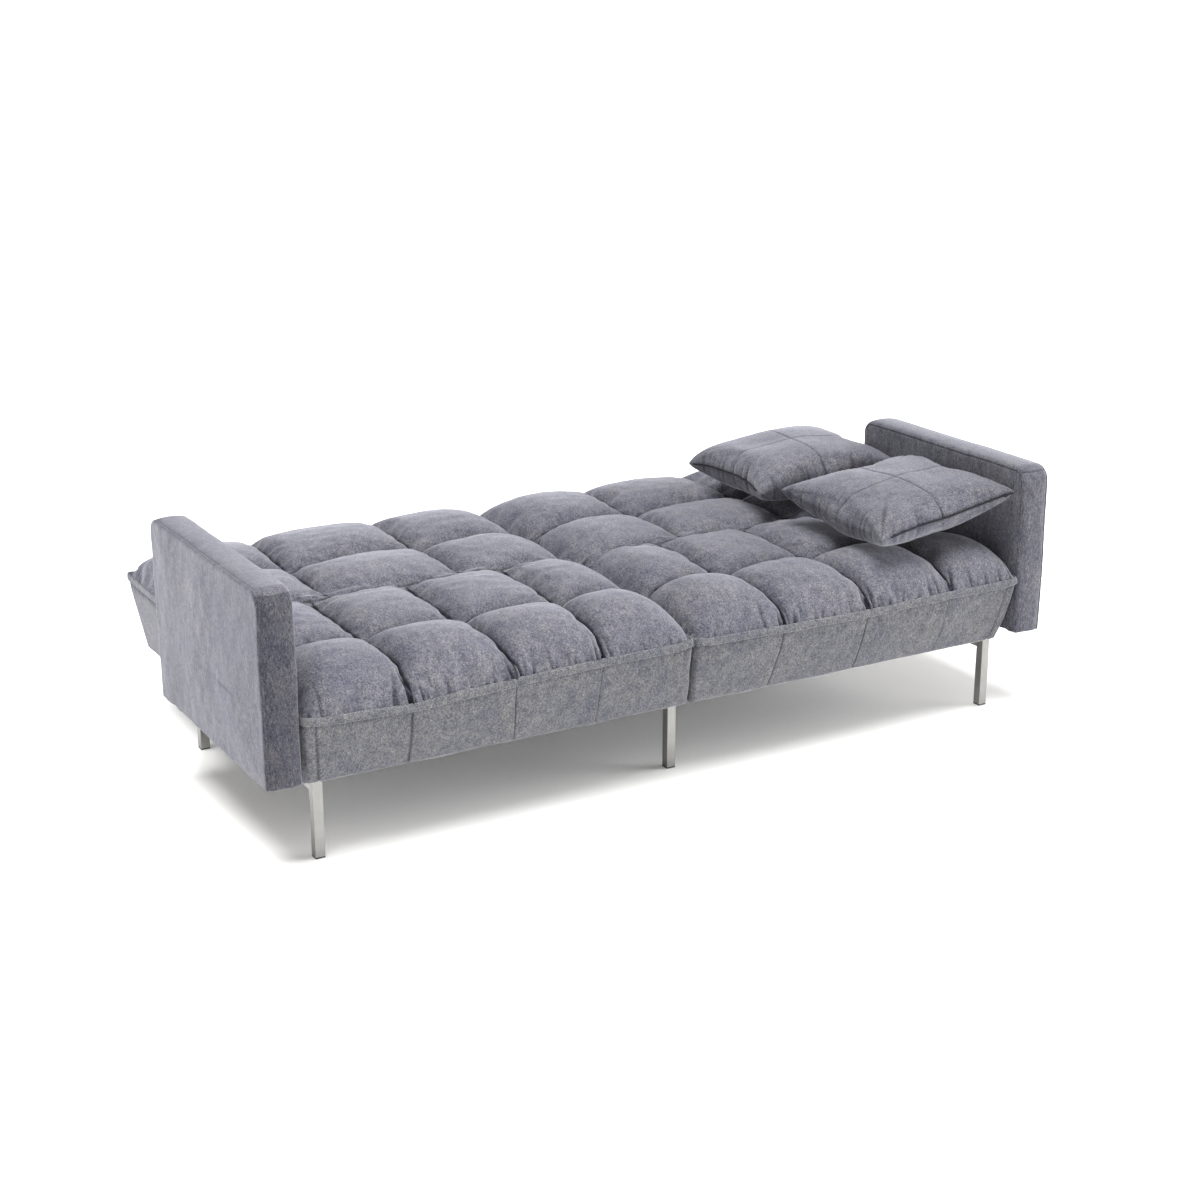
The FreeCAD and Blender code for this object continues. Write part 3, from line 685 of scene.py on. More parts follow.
def band(upper, lower):
    """Quads between two rings of the same length."""
    upper, lower = list(upper), list(lower)
    following = zip(upper[1:] + upper[:1], lower[1:] + lower[:1])
    return [[a, b, d, c] for a, b, (c, d) in zip(upper, lower, following)]


def tube(rings, size):
    """Quads over a stack of closed rings, the last joined to the first."""
    last = range((rings - 1) * size, rings * size)
    return lattice(rings, size, wrap=True) + band(last, range(size))


def quilted_cushion(cushion, materials):
    """One quilted top: simulated puffs, then gathers along the welt, then a closed underside."""
    seed = cushion.seed("quilt")
    points, shade = quilt_surface(cushion, seed)
    points = hinge_bumps(points)
    rows, cols = points.shape[:2]
    mesh = new_mesh("quilt", points.reshape(-1, 3), lattice(rows, cols))
    write_layer(mesh, "shade", shade)
    held = np.zeros((rows, cols), bool)
    held[:, ::cushion.points_per_puff] = True
    held[::POINTS_PER_PUFF_Y, :] = True
    write_points(mesh, inflate(mesh, held.ravel()))
    fine = subdivided(mesh)
    points = read_points(fine)
    up = read_points(fine, "normal")
    up[up[:, 2] < 0] *= -1
    pleats = edge_gathers(points, cushion, seed)
    # Painted shade: the channels' shade, with more in the valleys of the pleats
    shade = np.clip(read_layer(fine, "shade") + np.clip(-pleats / (3 * MM), 0, 0.6), 0, 1)
    points += up * pleats[:, None]
    points += up * (FUZZ * waves(points, 0.045, seed + 7))[:, None]
    points, faces = finish_quilt(fine, points)
    shade = np.concatenate([shade, np.zeros(len(points) - len(shade))])
    points[:, 0] *= cushion.sign
    points = sagged(points, cushion)
    obj = closed_piece(cushion.named("quilt"), points, faces, materials["quilt"], shade)
    if cushion.kind == "seat":
        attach(obj, "base")
    else:
        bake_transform(obj)
    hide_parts(cushion.named("cushion"))


def edge_gathers(points, cushion, seed):
    """Pleats along each rolled edge; the end by the centre gap has the most."""
    x, y, z = points.T
    columns = np.linspace(*SEAT_X, cushion.columns + 1)[1:-1] + np.array(cushion.wander[0]) * MM
    total = np.zeros(len(points))
    for i, rolled in enumerate(cushion.rolls_y):
        if rolled:
            away = np.hypot(y - cushion.ys[i], z - QUILT_EDGE_Z)
            total += gathers(x, away, seed + 11 + i, SEAT_X, 9 * MM, columns)
    for i, strength in enumerate((1.25, 0.8)):
        away = np.hypot(x - SEAT_X[i], z - QUILT_EDGE_Z)
        rows = [cushion.row_y]
        total += gathers(y, away, seed + 17 + i, cushion.ys, 10 * MM, rows, strength)
    return total


def finish_quilt(mesh, points):
    """Skirt and underside for a subdivided open panel, found from its boundary edges."""
    work = bmesh.new()
    work.from_mesh(mesh)
    for vertex, place in zip(work.verts, points):
        vertex.co = place
    edges = [e for e in work.edges if e.is_boundary]
    for depth in (0.5, 1.0):
        made = bmesh.ops.extrude_edge_only(work, edges=edges)["geom"]
        fresh = [g for g in made if isinstance(g, bmesh.types.BMVert)]
        for vertex in fresh:
            vertex.co.z += (SKIRT_BOTTOM - vertex.co.z) * depth
        edges = [e for e in made if isinstance(e, bmesh.types.BMEdge) and e.is_boundary]
    bmesh.ops.contextual_create(work, geom=edges)
    out = np.array([v.co[:] for v in work.verts])
    work.verts.index_update()
    faces = [[v.index for v in f.verts] for f in work.faces]
    work.free()
    return out, faces


# ---- outlines of each half


def rounded_loop(xs, ys, radius, along_x, along_y, arc=6):
    """Points round a rectangle from its front left corner, counterclockwise seen from above.
    along_x and along_y are the shares (0 to 1) of the straight runs at which points lie."""
    (x0, x1), (y0, y1) = xs, ys
    corners = [(x1 - radius, y0 + radius, -90), (x1 - radius, y1 - radius, 0),
               (x0 + radius, y1 - radius, 90), (x0 + radius, y0 + radius, 180)]
    runs = [((x0 + radius, y0), (x1 - radius, y0), along_x),
            ((x1, y0 + radius), (x1, y1 - radius), along_y),
            ((x1 - radius, y1), (x0 + radius, y1), 1 - np.asarray(along_x)[::-1]),
            ((x0, y1 - radius), (x0, y0 + radius), 1 - np.asarray(along_y)[::-1])]
    points = []
    for (start, end, shares), (cx, cy, angle) in zip(runs, corners):
        for s in shares:
            points.append([start[k] + (end[k] - start[k]) * s for k in (0, 1)])
        for i in range(1, arc):
            a = math.radians(angle + 90 * i / arc)
            points.append((cx + radius * math.cos(a), cy + radius * math.sin(a)))
    return np.array(points)


def outward(loop):
    """Unit normals of a closed counterclockwise loop in the XY plane."""
    step = np.roll(loop, -1, 0) - np.roll(loop, 1, 0)
    normal = np.stack([step[:, 1], -step[:, 0]], 1)
    return normal / np.linalg.norm(normal, axis=1, keepdims=True)


BESIDE_SEAM = (-4, -2.4, -1.2, 0, 1.2, 2.4, 4)


def shares(length, spacing, seams=()):
    """Evenly spread shares of a run, with extra points close to each seam's share."""
    even = np.linspace(0, 1, max(2, int(round(length / spacing)) + 1))
    extra = [s + d * MM / length for s in seams for d in BESIDE_SEAM]
    near = [e for e in even if all(abs(e - s) * length > 5 * MM for s in seams)]
    return np.array(sorted(near + extra))


WELT_CORNER = 12 * MM
# Section of the band, outwards and up from the seam, in mm
WELT_SECTION = [(-2.0, 8.0), (0.8, 8.2), (2.8, 6.2), (3.8, 2.0), (4.4, -3.0), (4.8, -6.6),
                (4.0, -8.0), (2.0, -7.0), (0.8, -4.0), (-2.0, -2.0)]
# Corners that stick up: which end along X and Y, and how much
WELT_LIFTS = {"seat": ((0, 0, 1.0), (1, 0, 0.7)), "back": ((1, 1, 0.8), (0, 1, 0.6))}
WELT_LIFT_REACH = 24 * MM
WELT_LIFT_UP = 7 * MM
WELT_LIFT_OUT = 1.5 * MM


def welt(cushion, materials):
    """Flat double-layer seam band round a cushion, with lifted corner tips."""
    ys, seed = cushion.ys, cushion.seed("welt")
    along = [shares(v[1] - v[0], 4 * MM) for v in (SEAT_X, ys)]
    loop = rounded_loop(SEAT_X, ys, WELT_CORNER, *along)
    normal = outward(loop)
    wobble = 0.5 * MM * waves(loop, 0.09, seed) + 0.35 * MM * waves(loop, 0.017, seed + 1)
    rise = 0.8 * MM * waves(loop, 0.16, seed + 2) + 0.35 * MM * waves(loop, 0.02, seed + 3)
    flare = np.zeros(len(loop))
    for ix, iy, amount in WELT_LIFTS[cushion.kind]:
        away = np.hypot(loop[:, 0] - SEAT_X[ix], loop[:, 1] - ys[iy])
        flare += amount * hump(away, WELT_LIFT_REACH)
    tight = np.where(np.abs(normal[:, 0]) > 0.5, 0.55, 1.0)
    rings = []
    for out, up in WELT_SECTION:
        outer = np.clip(out / 5.0, 0, 1)
        reach = out * MM * tight + (wobble + flare * WELT_LIFT_OUT) * outer * tight
        z = WELT_Z + up * MM + rise + flare * WELT_LIFT_UP * (0.4 + 0.6 * outer)
        rings.append(np.column_stack([loop + normal * reach[:, None], z]))
    points = np.array(rings).reshape(-1, 3)
    points[:, 0] *= cushion.sign
    points = sagged(points, cushion)
    faces = tube(len(rings), len(loop))
    obj = closed_piece(cushion.named("welt"), points, faces, materials["wall"])
    place_piece(obj, cushion.body, "upholstery_fabric")


BOXING_TAPER_X = (1.5 * MM, 14 * MM)
BOXING_TAPER_Y = {"seat": (47 * MM, 23 * MM), "back": (18 * MM, 75 * MM)}
BOXING_CORNER = 8 * MM
BOXING_WALL = 5 * MM
BOXING_ROWS = 26
BOXING_HANG = 3.5 * MM
SEAM_HALF_WIDTH = 1.5 * MM
END_SEAM_IN = 26 * MM
# The turned-in lower edge: share of the way in to the frame, and rise from the hem in mm
BOXING_LIP = [(0.10, -0.8), (0.5, 1.5), (1.0, BOXING_HANG / MM)]
GAP_LEAN = 20 * MM


def boxing(cushion, materials):
    """Padded wall under a cushion: leans in, bulges a little, with thin upright seams."""
    ys, seed = cushion.ys, cushion.seed("wall")
    taper_y = BOXING_TAPER_Y[cushion.kind]
    frame_x, frame_y = limits(cushion.named("dust_cover"))[:2]
    frame_x = tuple(sorted(abs(v) for v in frame_x))
    width, depth = SEAT_X[1] - SEAT_X[0], ys[1] - ys[0]
    wander = enumerate(cushion.wander[0], 1)
    seams_x = [i / cushion.columns + w * MM / width for i, w in wander]
    seams_x.append(1 - END_SEAM_IN / width)
    seams_y = [(cushion.row_y - ys[0]) / depth]
    along = shares(width, 6 * MM, seams_x), shares(depth, 6 * MM, seams_y)
    rng = np.random.default_rng(seed)
    leans = [rng.normal() * 6 * MM - 3 * MM for _ in seams_x]
    low_x = (SEAT_X[0] + BOXING_TAPER_X[0], SEAT_X[1] - BOXING_TAPER_X[1])
    low_y = (ys[0] + taper_y[0], ys[1] - taper_y[1])
    top_loop = rounded_loop(SEAT_X, ys, BOXING_CORNER, *along)
    low_loop = rounded_loop(low_x, low_y, BOXING_CORNER, *along)
    inner_loop = rounded_loop(frame_x, frame_y, 2 * MM, *along)
    z_top = WELT_Z + 1 * MM
    z_low = BOXING_Z[0] - BOXING_HANG
    rings, shades = [], []
    for i in range(BOXING_ROWS + 1):
        t = i / BOXING_ROWS
        loop = top_loop + (low_loop - top_loop) * t
        normal = outward(loop)
        z = np.full(len(loop), z_top + (z_low - z_top) * t)
        place = np.column_stack([loop, z])
        bulge = (5.0 * math.sin(math.pi * t) + 2.0 * t - 1.0) * MM
        uneven = 1.3 * MM * waves(place, 0.13, seed + 1) + 0.45 * MM * waves(place, 0.04, seed + 2)
        uneven *= math.sin(math.pi * min(1, t + 0.08)) + 0.15
        front = np.abs(normal[:, 1]) > 0.7
        groove = np.zeros(len(loop))
        for axis, seams, tops, lows, facing in ((0, seams_x, SEAT_X, low_x, front),
                                                (1, seams_y, ys, low_y, ~front)):
            for share in seams:
                top, low = (v[0] + share * (v[1] - v[0]) for v in (tops, lows))
                across = loop[:, axis] - top - (low - top) * t
                groove = np.maximum(groove, hump(across, SEAM_HALF_WIDTH) * facing)
        pucker = 1.2 * MM * waves(place[:, :2], 0.020, seed + 3) * hump(t, 0.14)
        inner_end = hump(loop[:, 0] - SEAT_X[0], 60 * MM)
        pull = waves(place[:, :1], 0.016, seed + 5) * inner_end * hump(t, 0.4)
        reach = bulge + uneven + pucker + 1.6 * MM * pull - 1.8 * MM * groove * min(1, 8 * t)
        reach = np.where(np.abs(normal[:, 0]) > 0.7, np.minimum(reach, 1.5 * MM), reach)
        z += (1.3 * MM * waves(place, 0.10, seed + 4)) * t ** 4
        ring = np.column_stack([loop + normal * reach[:, None], z])
        for lean, share in zip(leans, seams_x):
            away = loop[:, 0] - (SEAT_X[0] + share * width)
            ring[:, 0] += lean * t * t * hump(away, 40 * MM) * front
        rings.append(ring)
        # Painted shade: in the upright seam grooves, a painted shadow just under the welt, and in
        # the valleys of the pulled cloth
        welt_shadow = 0.85 * hump(t, 0.075)
        shades.append(0.62 * groove * min(1, 6 * t) + welt_shadow + 0.25 * np.clip(-pull, 0, 1))
    last = rings[-1]
    for share, drop in BOXING_LIP:
        flat = last[:, :2] + (inner_loop - last[:, :2]) * share
        rings.append(np.column_stack([flat, np.full(len(flat), z_low + drop * MM)]))
    rings.append(rings[-1] + (0, 0, 3 * MM))
    for t in (0.9, 0.5, 0.0):
        loop = top_loop + (low_loop - top_loop) * t
        inner = loop - outward(loop) * BOXING_WALL
        z = np.full(len(loop), z_top + (BOXING_Z[0] + 4 * MM - z_top) * t)
        rings.append(np.column_stack([inner, z]))
    size = len(top_loop)
    points = np.array(rings).reshape(-1, 3)
    points[:, 0] *= cushion.sign
    points = sagged(lean_gap(points), cushion)
    shade = np.zeros(len(points))
    shade[:len(shades) * size] = np.concatenate(shades)
    faces = tube(len(rings), size)
    obj = closed_piece(cushion.named("wall"), points, faces, materials["wall"], shade)
    place_piece(obj, cushion.body, "upholstery_fabric", cushion.named("boxing"))


def lean_gap(points):
    """The gap between the two halves wanders to the right towards the floor, at the front."""
    x, y, z = points.T
    down = np.clip((WELT_Z - z) / (WELT_Z - BOXING_Z[0]), 0, 1)
    near = hump(x, 48 * MM) * hump(y - SEAT_Y[0], 110 * MM)
    points[:, 0] += GAP_LEAN * down ** 1.6 * near
    return points


SHEET_THICK = 0.8 * MM
SHEET_LIFT = 0.25 * MM
SHEET_RIPPLE = 0.12 * MM
SHEET_POINTS = (60, 30)


def dust_cover(cushion, materials):
    """Thin black cloth stapled under a frame, with faint ripples."""
    node = cushion.named("dust_cover")
    xs, ys, zs = limits(node)
    columns, rows = SHEET_POINTS
    x, y, flat = grid(np.linspace(*xs, columns), np.linspace(*ys, rows))
    size = (xs[1] - xs[0], ys[1] - ys[0])
    inside = np.sin(np.pi * (x - xs[0]) / size[0]) * np.sin(np.pi * (y - ys[0]) / size[1])
    ripple = SHEET_RIPPLE * waves(flat, 0.05, 91) * inside.ravel()
    low = np.column_stack([flat, zs[0] + SHEET_LIFT + ripple])
    high = low + (0, 0, SHEET_THICK)
    above = rows * columns
    faces = lattice(rows, columns)
    faces += [[i + above for i in face] for face in faces]
    ring = border_ring(rows, columns)
    faces += band(ring, [i + above for i in ring])
    points = np.vstack([low, high])
    cloth = materials["dust_cover_cloth"]
    obj = closed_piece(cushion.named("underlay"), points, faces, cloth)
    place_piece(obj, cushion.body, "dust_cover_cloth", node)


# ---- arms

ARM_RADIUS = 38 * MM
ARM_HEEL = 8 * MM
ARM_LEAN = 20 * MM
# Across the arm from its outer face to its inner face: share of the thickness, inset in mm
ARM_SECTION = [(0.000, 30), (0.000, 20), (0.000, 13), (0.002, 9.5), (0.012, 6.6), (0.030, 4.6),
               (0.060, 3.3), (0.092, 3.9), (0.100, 4.3), (0.108, 3.6), (0.150, 2.3), (0.30, 0.9),
               (0.50, 0.1), (0.70, 0.8), (0.84, 1.9), (0.91, 3.1), (0.960, 4.8), (0.985, 6.8),
               (0.996, 9.2), (0.994, 10.9), (0.970, 12.0), (0.994, 13.1), (1.000, 15.5),
               (1.000, 21), (1.000, 30)]
# Rings of the section that lie in a seam, and how much painted shade each gets in the seam's
# groove
ARM_SEAMS = {4: 0.18, 7: 0.2, 8: 0.5, 9: 0.2, 19: 0.2, 20: 0.65, 21: 0.2}
ARM_CROSS_SEAM_DOWN = 13 * MM
ARM_PANEL_RINGS = 24
# Fullness of each side panel, in mm
ARM_OUTER_FULL = 4.0
ARM_INNER_FULL = 1.6
# Height of the seam on the left arm's outer panel as a share, and its run from the front
PANEL_SEAM_UP = 0.385
PANEL_SEAM_Y = (150 * MM, 345 * MM)
# Painted shade on the short strip below the cross seam, strongest on the left arm, where that face
# looks darker in the light
STRIP_SHADE = {"left": 0.38, "right": 0.04}


def arm_outline(ys, zs, inset, spacing):
    """Side outline of an arm in (y, z), counterclockwise from its front heel, seen from +X.
    Points correspond from one inset to another."""
    y0, y1 = ys[0] + inset, ys[1] - inset
    z0, z1 = zs[0] + inset * 0.6, zs[1] - inset
    top = max(ARM_RADIUS - inset, 10 * MM)
    heel = max(ARM_HEEL - inset, 2 * MM)
    along = shares(ys[1] - ys[0], spacing)
    rise = shares(zs[1] - zs[0], spacing)
    parts = [
        [(y0 + heel + (y1 - y0 - 2 * heel) * s, z0) for s in along],
        corner(y1 - heel, z0 + heel, heel, -90, 4),
        [(y1, z0 + heel + (z1 - top - z0 - heel) * s) for s in rise],
        corner(y1 - top, z1 - top, top, 0, 24),
        [(y1 - top - (y1 - y0 - 2 * top) * s, z1) for s in along],
        corner(y0 + top, z1 - top, top, 90, 24),
        [(y0, z1 - top - (z1 - top - z0 - heel) * s) for s in 1 - rise[::-1]],
        corner(y0 + heel, z0 + heel, heel, 180, 4),
    ]
    return np.array([p for part in parts for p in part])


def corner(cy, cz, radius, start, steps):
    """Points between the ends of a quarter circle that begins at start degrees."""
    angles = [math.radians(start + 90 * i / steps) for i in range(1, steps)]
    return [(cy + radius * math.cos(a), cz + radius * math.sin(a)) for a in angles]


def arm(side, materials):
    """Padded arm: crowned band round its edge, seams, and two slightly full side panels."""
    sign = SIDES[side]
    xs, ys, zs = limits(f"arm_cover_{side}")
    outer_x, inner_x = (xs[1], xs[0]) if sign > 0 else (xs[0], xs[1])
    seed = ARM_SEED + (RIGHT_SEED if sign > 0 else 0)
    rings = []
    for share, inset in ARM_SECTION:
        ring = arm_outline(ys, zs, inset * MM, 6 * MM)
        x = np.full(len(ring), outer_x + (inner_x - outer_x) * share)
        rings.append(np.column_stack([x, ring]))
    middle = np.array([(ys[0] + ys[1]) / 2, (zs[0] + zs[1]) / 2])
    panels = []
    for ring, x, puff in ((rings[0], outer_x, sign * ARM_OUTER_FULL * MM),
                          (rings[-1], inner_x, -sign * ARM_INNER_FULL * MM)):
        made = []
        for t in np.linspace(0, 1, ARM_PANEL_RINGS + 2)[1:-1]:
            flat = middle + (ring[:, 1:] - middle) * (1 - t)
            full = np.full(len(flat), x + puff * (1 - (1 - t) ** 3.0))
            made.append(np.column_stack([full, flat]))
        panels.append(made)
    rings = panels[0][::-1] + rings + panels[1]
    count, size = len(rings), len(rings[0])
    points = np.array(rings).reshape(-1, 3)
    section = np.repeat(np.arange(count) - ARM_PANEL_RINGS, size)
    points, shade = arm_surface_marks(points, section, side, seed, ys, zs)
    faces = lattice(count, size, wrap=True)
    ends = [(outer_x + sign * ARM_OUTER_FULL * MM, *middle),
            (inner_x - sign * ARM_INNER_FULL * MM, *middle)]
    for start, centre in ((0, len(points)), ((count - 1) * size, len(points) + 1)):
        faces += [[start + i, start + (i + 1) % size, centre] for i in range(size)]
    points = np.vstack([points, ends])
    shade = np.concatenate([shade, (0, 0)])
    obj = closed_piece(f"arm_{side}", points, faces, materials["arm"], shade)
    place_piece(obj, "base", "upholstery_fabric", f"arm_cover_{side}")


def arm_surface_marks(points, section, side, seed, ys, zs):
    """Soft unevenness, seams and the short cross seam at the top of the front band: returns the
    points and the painted shade at each. section says which ring of ARM_SECTION each point lies
    in."""
    uneven = 1.0 * MM * waves(points, 0.15, seed) + 0.3 * MM * waves(points, 0.045, seed + 1)
    x, y, z = points.T
    off = x - x.mean()
    flank = np.where(np.abs(off) > 25 * MM, np.sign(off), 0.0)
    x += flank * uneven
    if side == "left":
        share = np.clip((y - ys[0]) / (ys[1] - ys[0]), 0, 1)
        y += ARM_LEAN * share * (z - zs[0]) / (zs[1] - zs[0])
    low = np.clip((zs[0] + 30 * MM - z) / (30 * MM), 0, 1)
    z += 1.5 * MM * waves(points, 0.03, seed + 2) * low ** 2
    # Painted shade in the seam grooves, faint off the front band
    shade = np.zeros(len(points))
    band_points = (section > 3) & (section < len(ARM_SECTION) - 5)
    front = y < ys[0] + 18 * MM
    for mark, depth in ARM_SEAMS.items():
        shade[section == mark] = depth
    shade *= np.where((section < 10) & ~front, 0.15, 1.0)
    cross_z = zs[1] - ARM_CROSS_SEAM_DOWN
    line = hump(z - cross_z, 1.6 * MM) * front * band_points
    y += 1.5 * MM * line
    # Painted shade in the cross seam's groove
    shade = np.maximum(shade, 0.6 * line)
    puckers = hump(z - cross_z + 9 * MM, 8 * MM) * front * band_points
    y += 0.8 * MM * puckers * waves(points[:, :1], 0.009, seed + 4)
    if side == "left":
        panel_z = zs[0] + PANEL_SEAM_UP * (zs[1] - zs[0])
        start, end = (ys[0] + v for v in PANEL_SEAM_Y)
        run = 1 / (1 + np.exp((y - end) / (12 * MM)))
        run *= 1 / (1 + np.exp((start - y) / (12 * MM)))
        seam = hump(z - panel_z, 2.2 * MM) * run * (section <= 1)
        x += 1.0 * MM * seam
        # Painted shade along the outer panel's seam
        shade = np.maximum(shade, 0.9 * seam)
    # Painted shade on the front strip below the cross seam
    strip = front * band_points * STRIP_SHADE[side]
    return points, np.maximum(shade, strip * (z < cross_z))


# ---- pillows

PILLOW_GRID = 54
PILLOW_FULLNESS = 0.36
SEAM_WIDTH = 2.2 * MM
RIM_WIDTH = 1.6 * MM
TIP_POWER = 1.8
# Turns about X, Y and Z, size, shift from the CAD pillow, and how far each corner is bent up:
# near left, near right, far right, far left
PILLOWS = {
    "pillow_front": {"turns": (1.8, -8.2, 0.0), "size": (0.384, 0.384, 0.112), "zip": "front",
                     "shift": (0, 0, -3), "tips": (0, 15, -14, 24), "seed": 200},
    "pillow_rear": {"turns": (0.0, -3.0, -5.0), "size": (0.386, 0.386, 0.132), "zip": "left",
                    "shift": (10, -14, 5), "tips": (-8, 6, 4, -18), "seed": 220},
}
CORNERS = ((-1, -1), (1, -1), (1, 1), (-1, 1))
# Each point's place on its panel, -1 to 1, and which panel it belongs to
PANEL_LAYERS = ("panel_u", "panel_v", "panel_f")


def pillow_bag(size, seed):
    """Two square panels sewn round the edge: points, faces and each point's panel place."""
    places = np.linspace(-1, 1, PILLOW_GRID + 1)
    n = len(places)
    u, v, flat = grid(places, places)
    dome = ((1 - u ** 2) * (1 - v ** 2)) ** PILLOW_FULLNESS
    half = size[0] / 2
    x = u * half * (1 - 0.055 * (1 - v ** 2) * u ** 2)
    y = v * half * (1 - 0.055 * (1 - u ** 2) * v ** 2)
    sag = 3 * MM * waves(flat, 1.1, seed).reshape(u.shape) * (1 - u ** 2 * v ** 2)
    top = np.stack([x, y, dome * 0.42 * size[2] + sag], -1)
    bottom = np.stack([x, y, -dome * 0.50 * size[2] + sag], -1)
    border = (np.abs(u) == 1) | (np.abs(v) == 1)
    points = np.vstack([top.reshape(-1, 3), bottom[~border]])
    below = np.arange(n * n).reshape(n, n)
    below[~border] = n * n + np.arange(int((~border).sum()))
    below = below.ravel().tolist()
    faces = lattice(n, n)
    faces += [[below[i] for i in reversed(face)] for face in faces]
    panel = np.stack([u, v, np.ones_like(u)], -1)
    under = panel * (1, 1, -1)
    return points, faces, np.vstack([panel.reshape(-1, 3), under[~border]])


def pillow_creases(panel, seed):
    """Folds that run in from the corners and edges, as an offset along the normal."""
    rng = np.random.default_rng(seed)
    u, v, face = panel.T
    total = np.zeros(len(panel))
    for cu, cv in CORNERS:
        du, dv = u - cu, v - cv
        away = np.hypot(du, dv)
        angle = np.arctan2(dv * -cv, du * -cu)
        for _ in range(4):
            turn = rng.uniform(0.12, 1.45)
            width = rng.uniform(0.05, 0.09)
            reach = rng.uniform(0.25, 0.62)
            depth = rng.uniform(1.4, 3.2) * MM
            side = rng.choice([-1, 1])
            fold = hump(angle - turn, width) * hump(away - 0.2, reach)
            total -= depth * fold * (face * side > 0) * np.clip(away / 0.15, 0, 1)
    for edge in range(4):
        across = (1 - v, 1 - u, 1 + v, 1 + u)[edge]
        along = (u, v, u, v)[edge]
        for _ in range(16):
            place = rng.uniform(-0.9, 0.9)
            width = rng.uniform(0.012, 0.028)
            reach = rng.uniform(0.06, 0.22)
            depth = rng.uniform(0.6, 1.9) * MM
            total -= depth * hump(along - place, width) * hump(across, reach)
    return total


def build_pillow(node, materials):
    """Stuffed square pillow, inflated as cloth, with a cross seam on top and a zip in one side."""
    facts = PILLOWS[node]
    size, seed = facts["size"], facts["seed"]
    points, faces, panel = pillow_bag(size, seed)
    mesh = new_mesh("bag", points, faces)
    for name, values in zip(PANEL_LAYERS, panel.T):
        write_layer(mesh, name, values)
    moved = inflate(mesh, np.zeros(len(points), bool), frames=18, slack=-0.04)
    moved -= (moved.max(0) + moved.min(0)) / 2
    moved *= np.array(size) / (moved.max(0) - moved.min(0))
    write_points(mesh, moved)
    fine = subdivided(mesh)
    points = read_points(fine)
    up = read_points(fine, "normal")
    panel = np.column_stack([read_layer(fine, name) for name in PANEL_LAYERS])
    u, v, face = panel.T
    on_top = np.clip(face * 3, 0, 1)
    half = size[0] / 2
    seam = np.maximum(hump(u * half, SEAM_WIDTH), hump(v * half, SEAM_WIDTH)) * on_top
    creases = pillow_creases(panel, seed + 1)
    offset = creases + 1.2 * MM * waves(points, 0.10, seed + 2) - 1.6 * MM * seam
    points += up * offset[:, None]
    for (cu, cv), lift in zip(CORNERS, facts["tips"]):
        near = np.clip(u * cu, 0, 1) * np.clip(v * cv, 0, 1)
        points[:, 2] += lift * MM * near ** TIP_POWER
    turn = np.array(Euler(np.radians(facts["turns"])).to_matrix())
    centre = np.mean(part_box(node), axis=0) + np.array(facts["shift"]) * MM
    placed = points @ turn.T + centre
    # Painted shade: in the top cross seam and the creases, and a painted shadow along the side
    # seam's rim
    rim = hump((1 - np.maximum(np.abs(u), np.abs(v))) * half, RIM_WIDTH)
    shade = 0.5 * seam + np.clip(-creases / (4 * MM), 0, 0.4) + 0.35 * rim
    write_points(fine, placed)
    obj = new_object(f"{node}_cover", facing_out(fine), materials["pillow"], shade)
    place_piece(obj, node, "pillow_fabric", node)
    add_zip(node, facts["zip"], placed, panel, materials)


ZIP_SPAN = (-0.80, 0.86)
ZIP_RADIUS = 2.0 * MM
ZIP_OUT = 2.4 * MM
ZIP_DOWN = 0.6 * MM


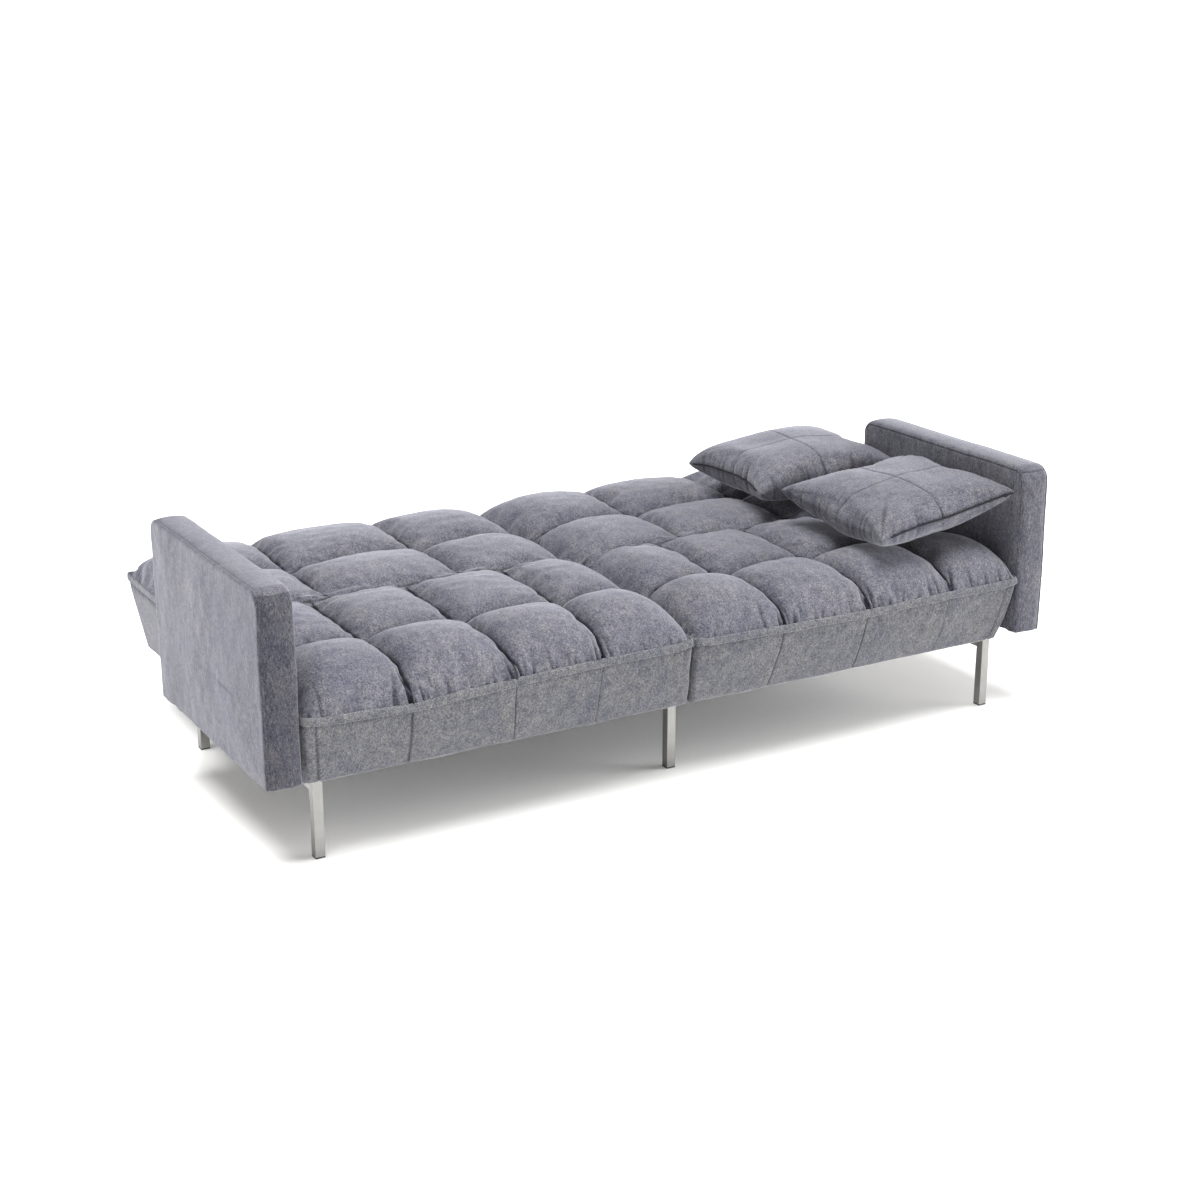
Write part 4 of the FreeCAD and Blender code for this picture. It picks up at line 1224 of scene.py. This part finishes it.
def add_zip(node, edge, points, panel, materials):
    """Dark zip along the lower lip of one side seam, with a small slider at its end."""
    u, v, _ = panel.T
    along, across = (u, v) if edge == "front" else (v, u)
    on_edge = (across < -0.995) & (along > ZIP_SPAN[0]) & (along < ZIP_SPAN[1])
    order = np.argsort(along[on_edge])
    line = points[on_edge][order]
    outward_way = (line - points.mean(0)) * (1, 1, 0)
    outward_way /= np.linalg.norm(outward_way, axis=1, keepdims=True)
    line += outward_way * ZIP_OUT - np.array((0, 0, ZIP_DOWN))
    curve = bpy.data.curves.new(f"{node}_zip", "CURVE")
    curve.dimensions = "3D"
    curve.bevel_depth = ZIP_RADIUS
    curve.bevel_resolution = 3
    curve.use_fill_caps = True
    spline = curve.splines.new("POLY")
    spline.points.add(len(line) - 1)
    spline.points.foreach_set("co", np.column_stack([line, np.ones(len(line))]).ravel())
    curve.materials.append(materials["zip"])
    place_piece(linked(f"{node}_zip", curve), node, "pillow_fabric")
    step = line[-1] - line[-4]
    step /= np.linalg.norm(step)
    slider = zip_slider(f"{node}_zip_slider", line[-1], step, materials)
    place_piece(slider, node, "pillow_fabric")


# Half outline of the slider and its tab: distance along the zip and half width, in mm
SLIDER_OUTLINE = [(-4.0, 2.6), (0.0, 3.4), (4.0, 2.8), (5.5, 1.2), (16.0, 1.9), (18.5, 1.2)]


def zip_slider(name, at, along, materials):
    """Small body and pull tab lying along the zip, as one bevelled plate."""
    ring = SLIDER_OUTLINE + [(a, -w) for a, w in reversed(SLIDER_OUTLINE)]
    side = np.cross(along, (0, 0, 1.0))
    side /= np.linalg.norm(side)
    low = [at + along * a * MM + side * 2.5 * MM + np.array([0, 0, w * MM]) for a, w in ring]
    high = [p + side * 1.8 * MM for p in low]
    count = len(ring)
    faces = band(range(count), range(count, 2 * count))
    faces += [list(range(count)), list(range(2 * count - 1, count - 1, -1))]
    obj = closed_piece(name, low + high, faces, materials["zip"])
    bevel = obj.modifiers.new("soft", "BEVEL")
    bevel.width = 0.4 * MM
    bevel.segments = 2
    return obj


# ---- everything

materials = make_materials()
add_camera()
add_studio()
dress_cad_nodes(materials)
for half in SIDES:
    for kind in ("seat", "back"):
        for make in (quilted_cushion, welt, boxing, dust_cover):
            make(Cushion(kind, half), materials)
    arm(half, materials)
for pillow_node in PILLOWS:
    build_pillow(pillow_node, materials)
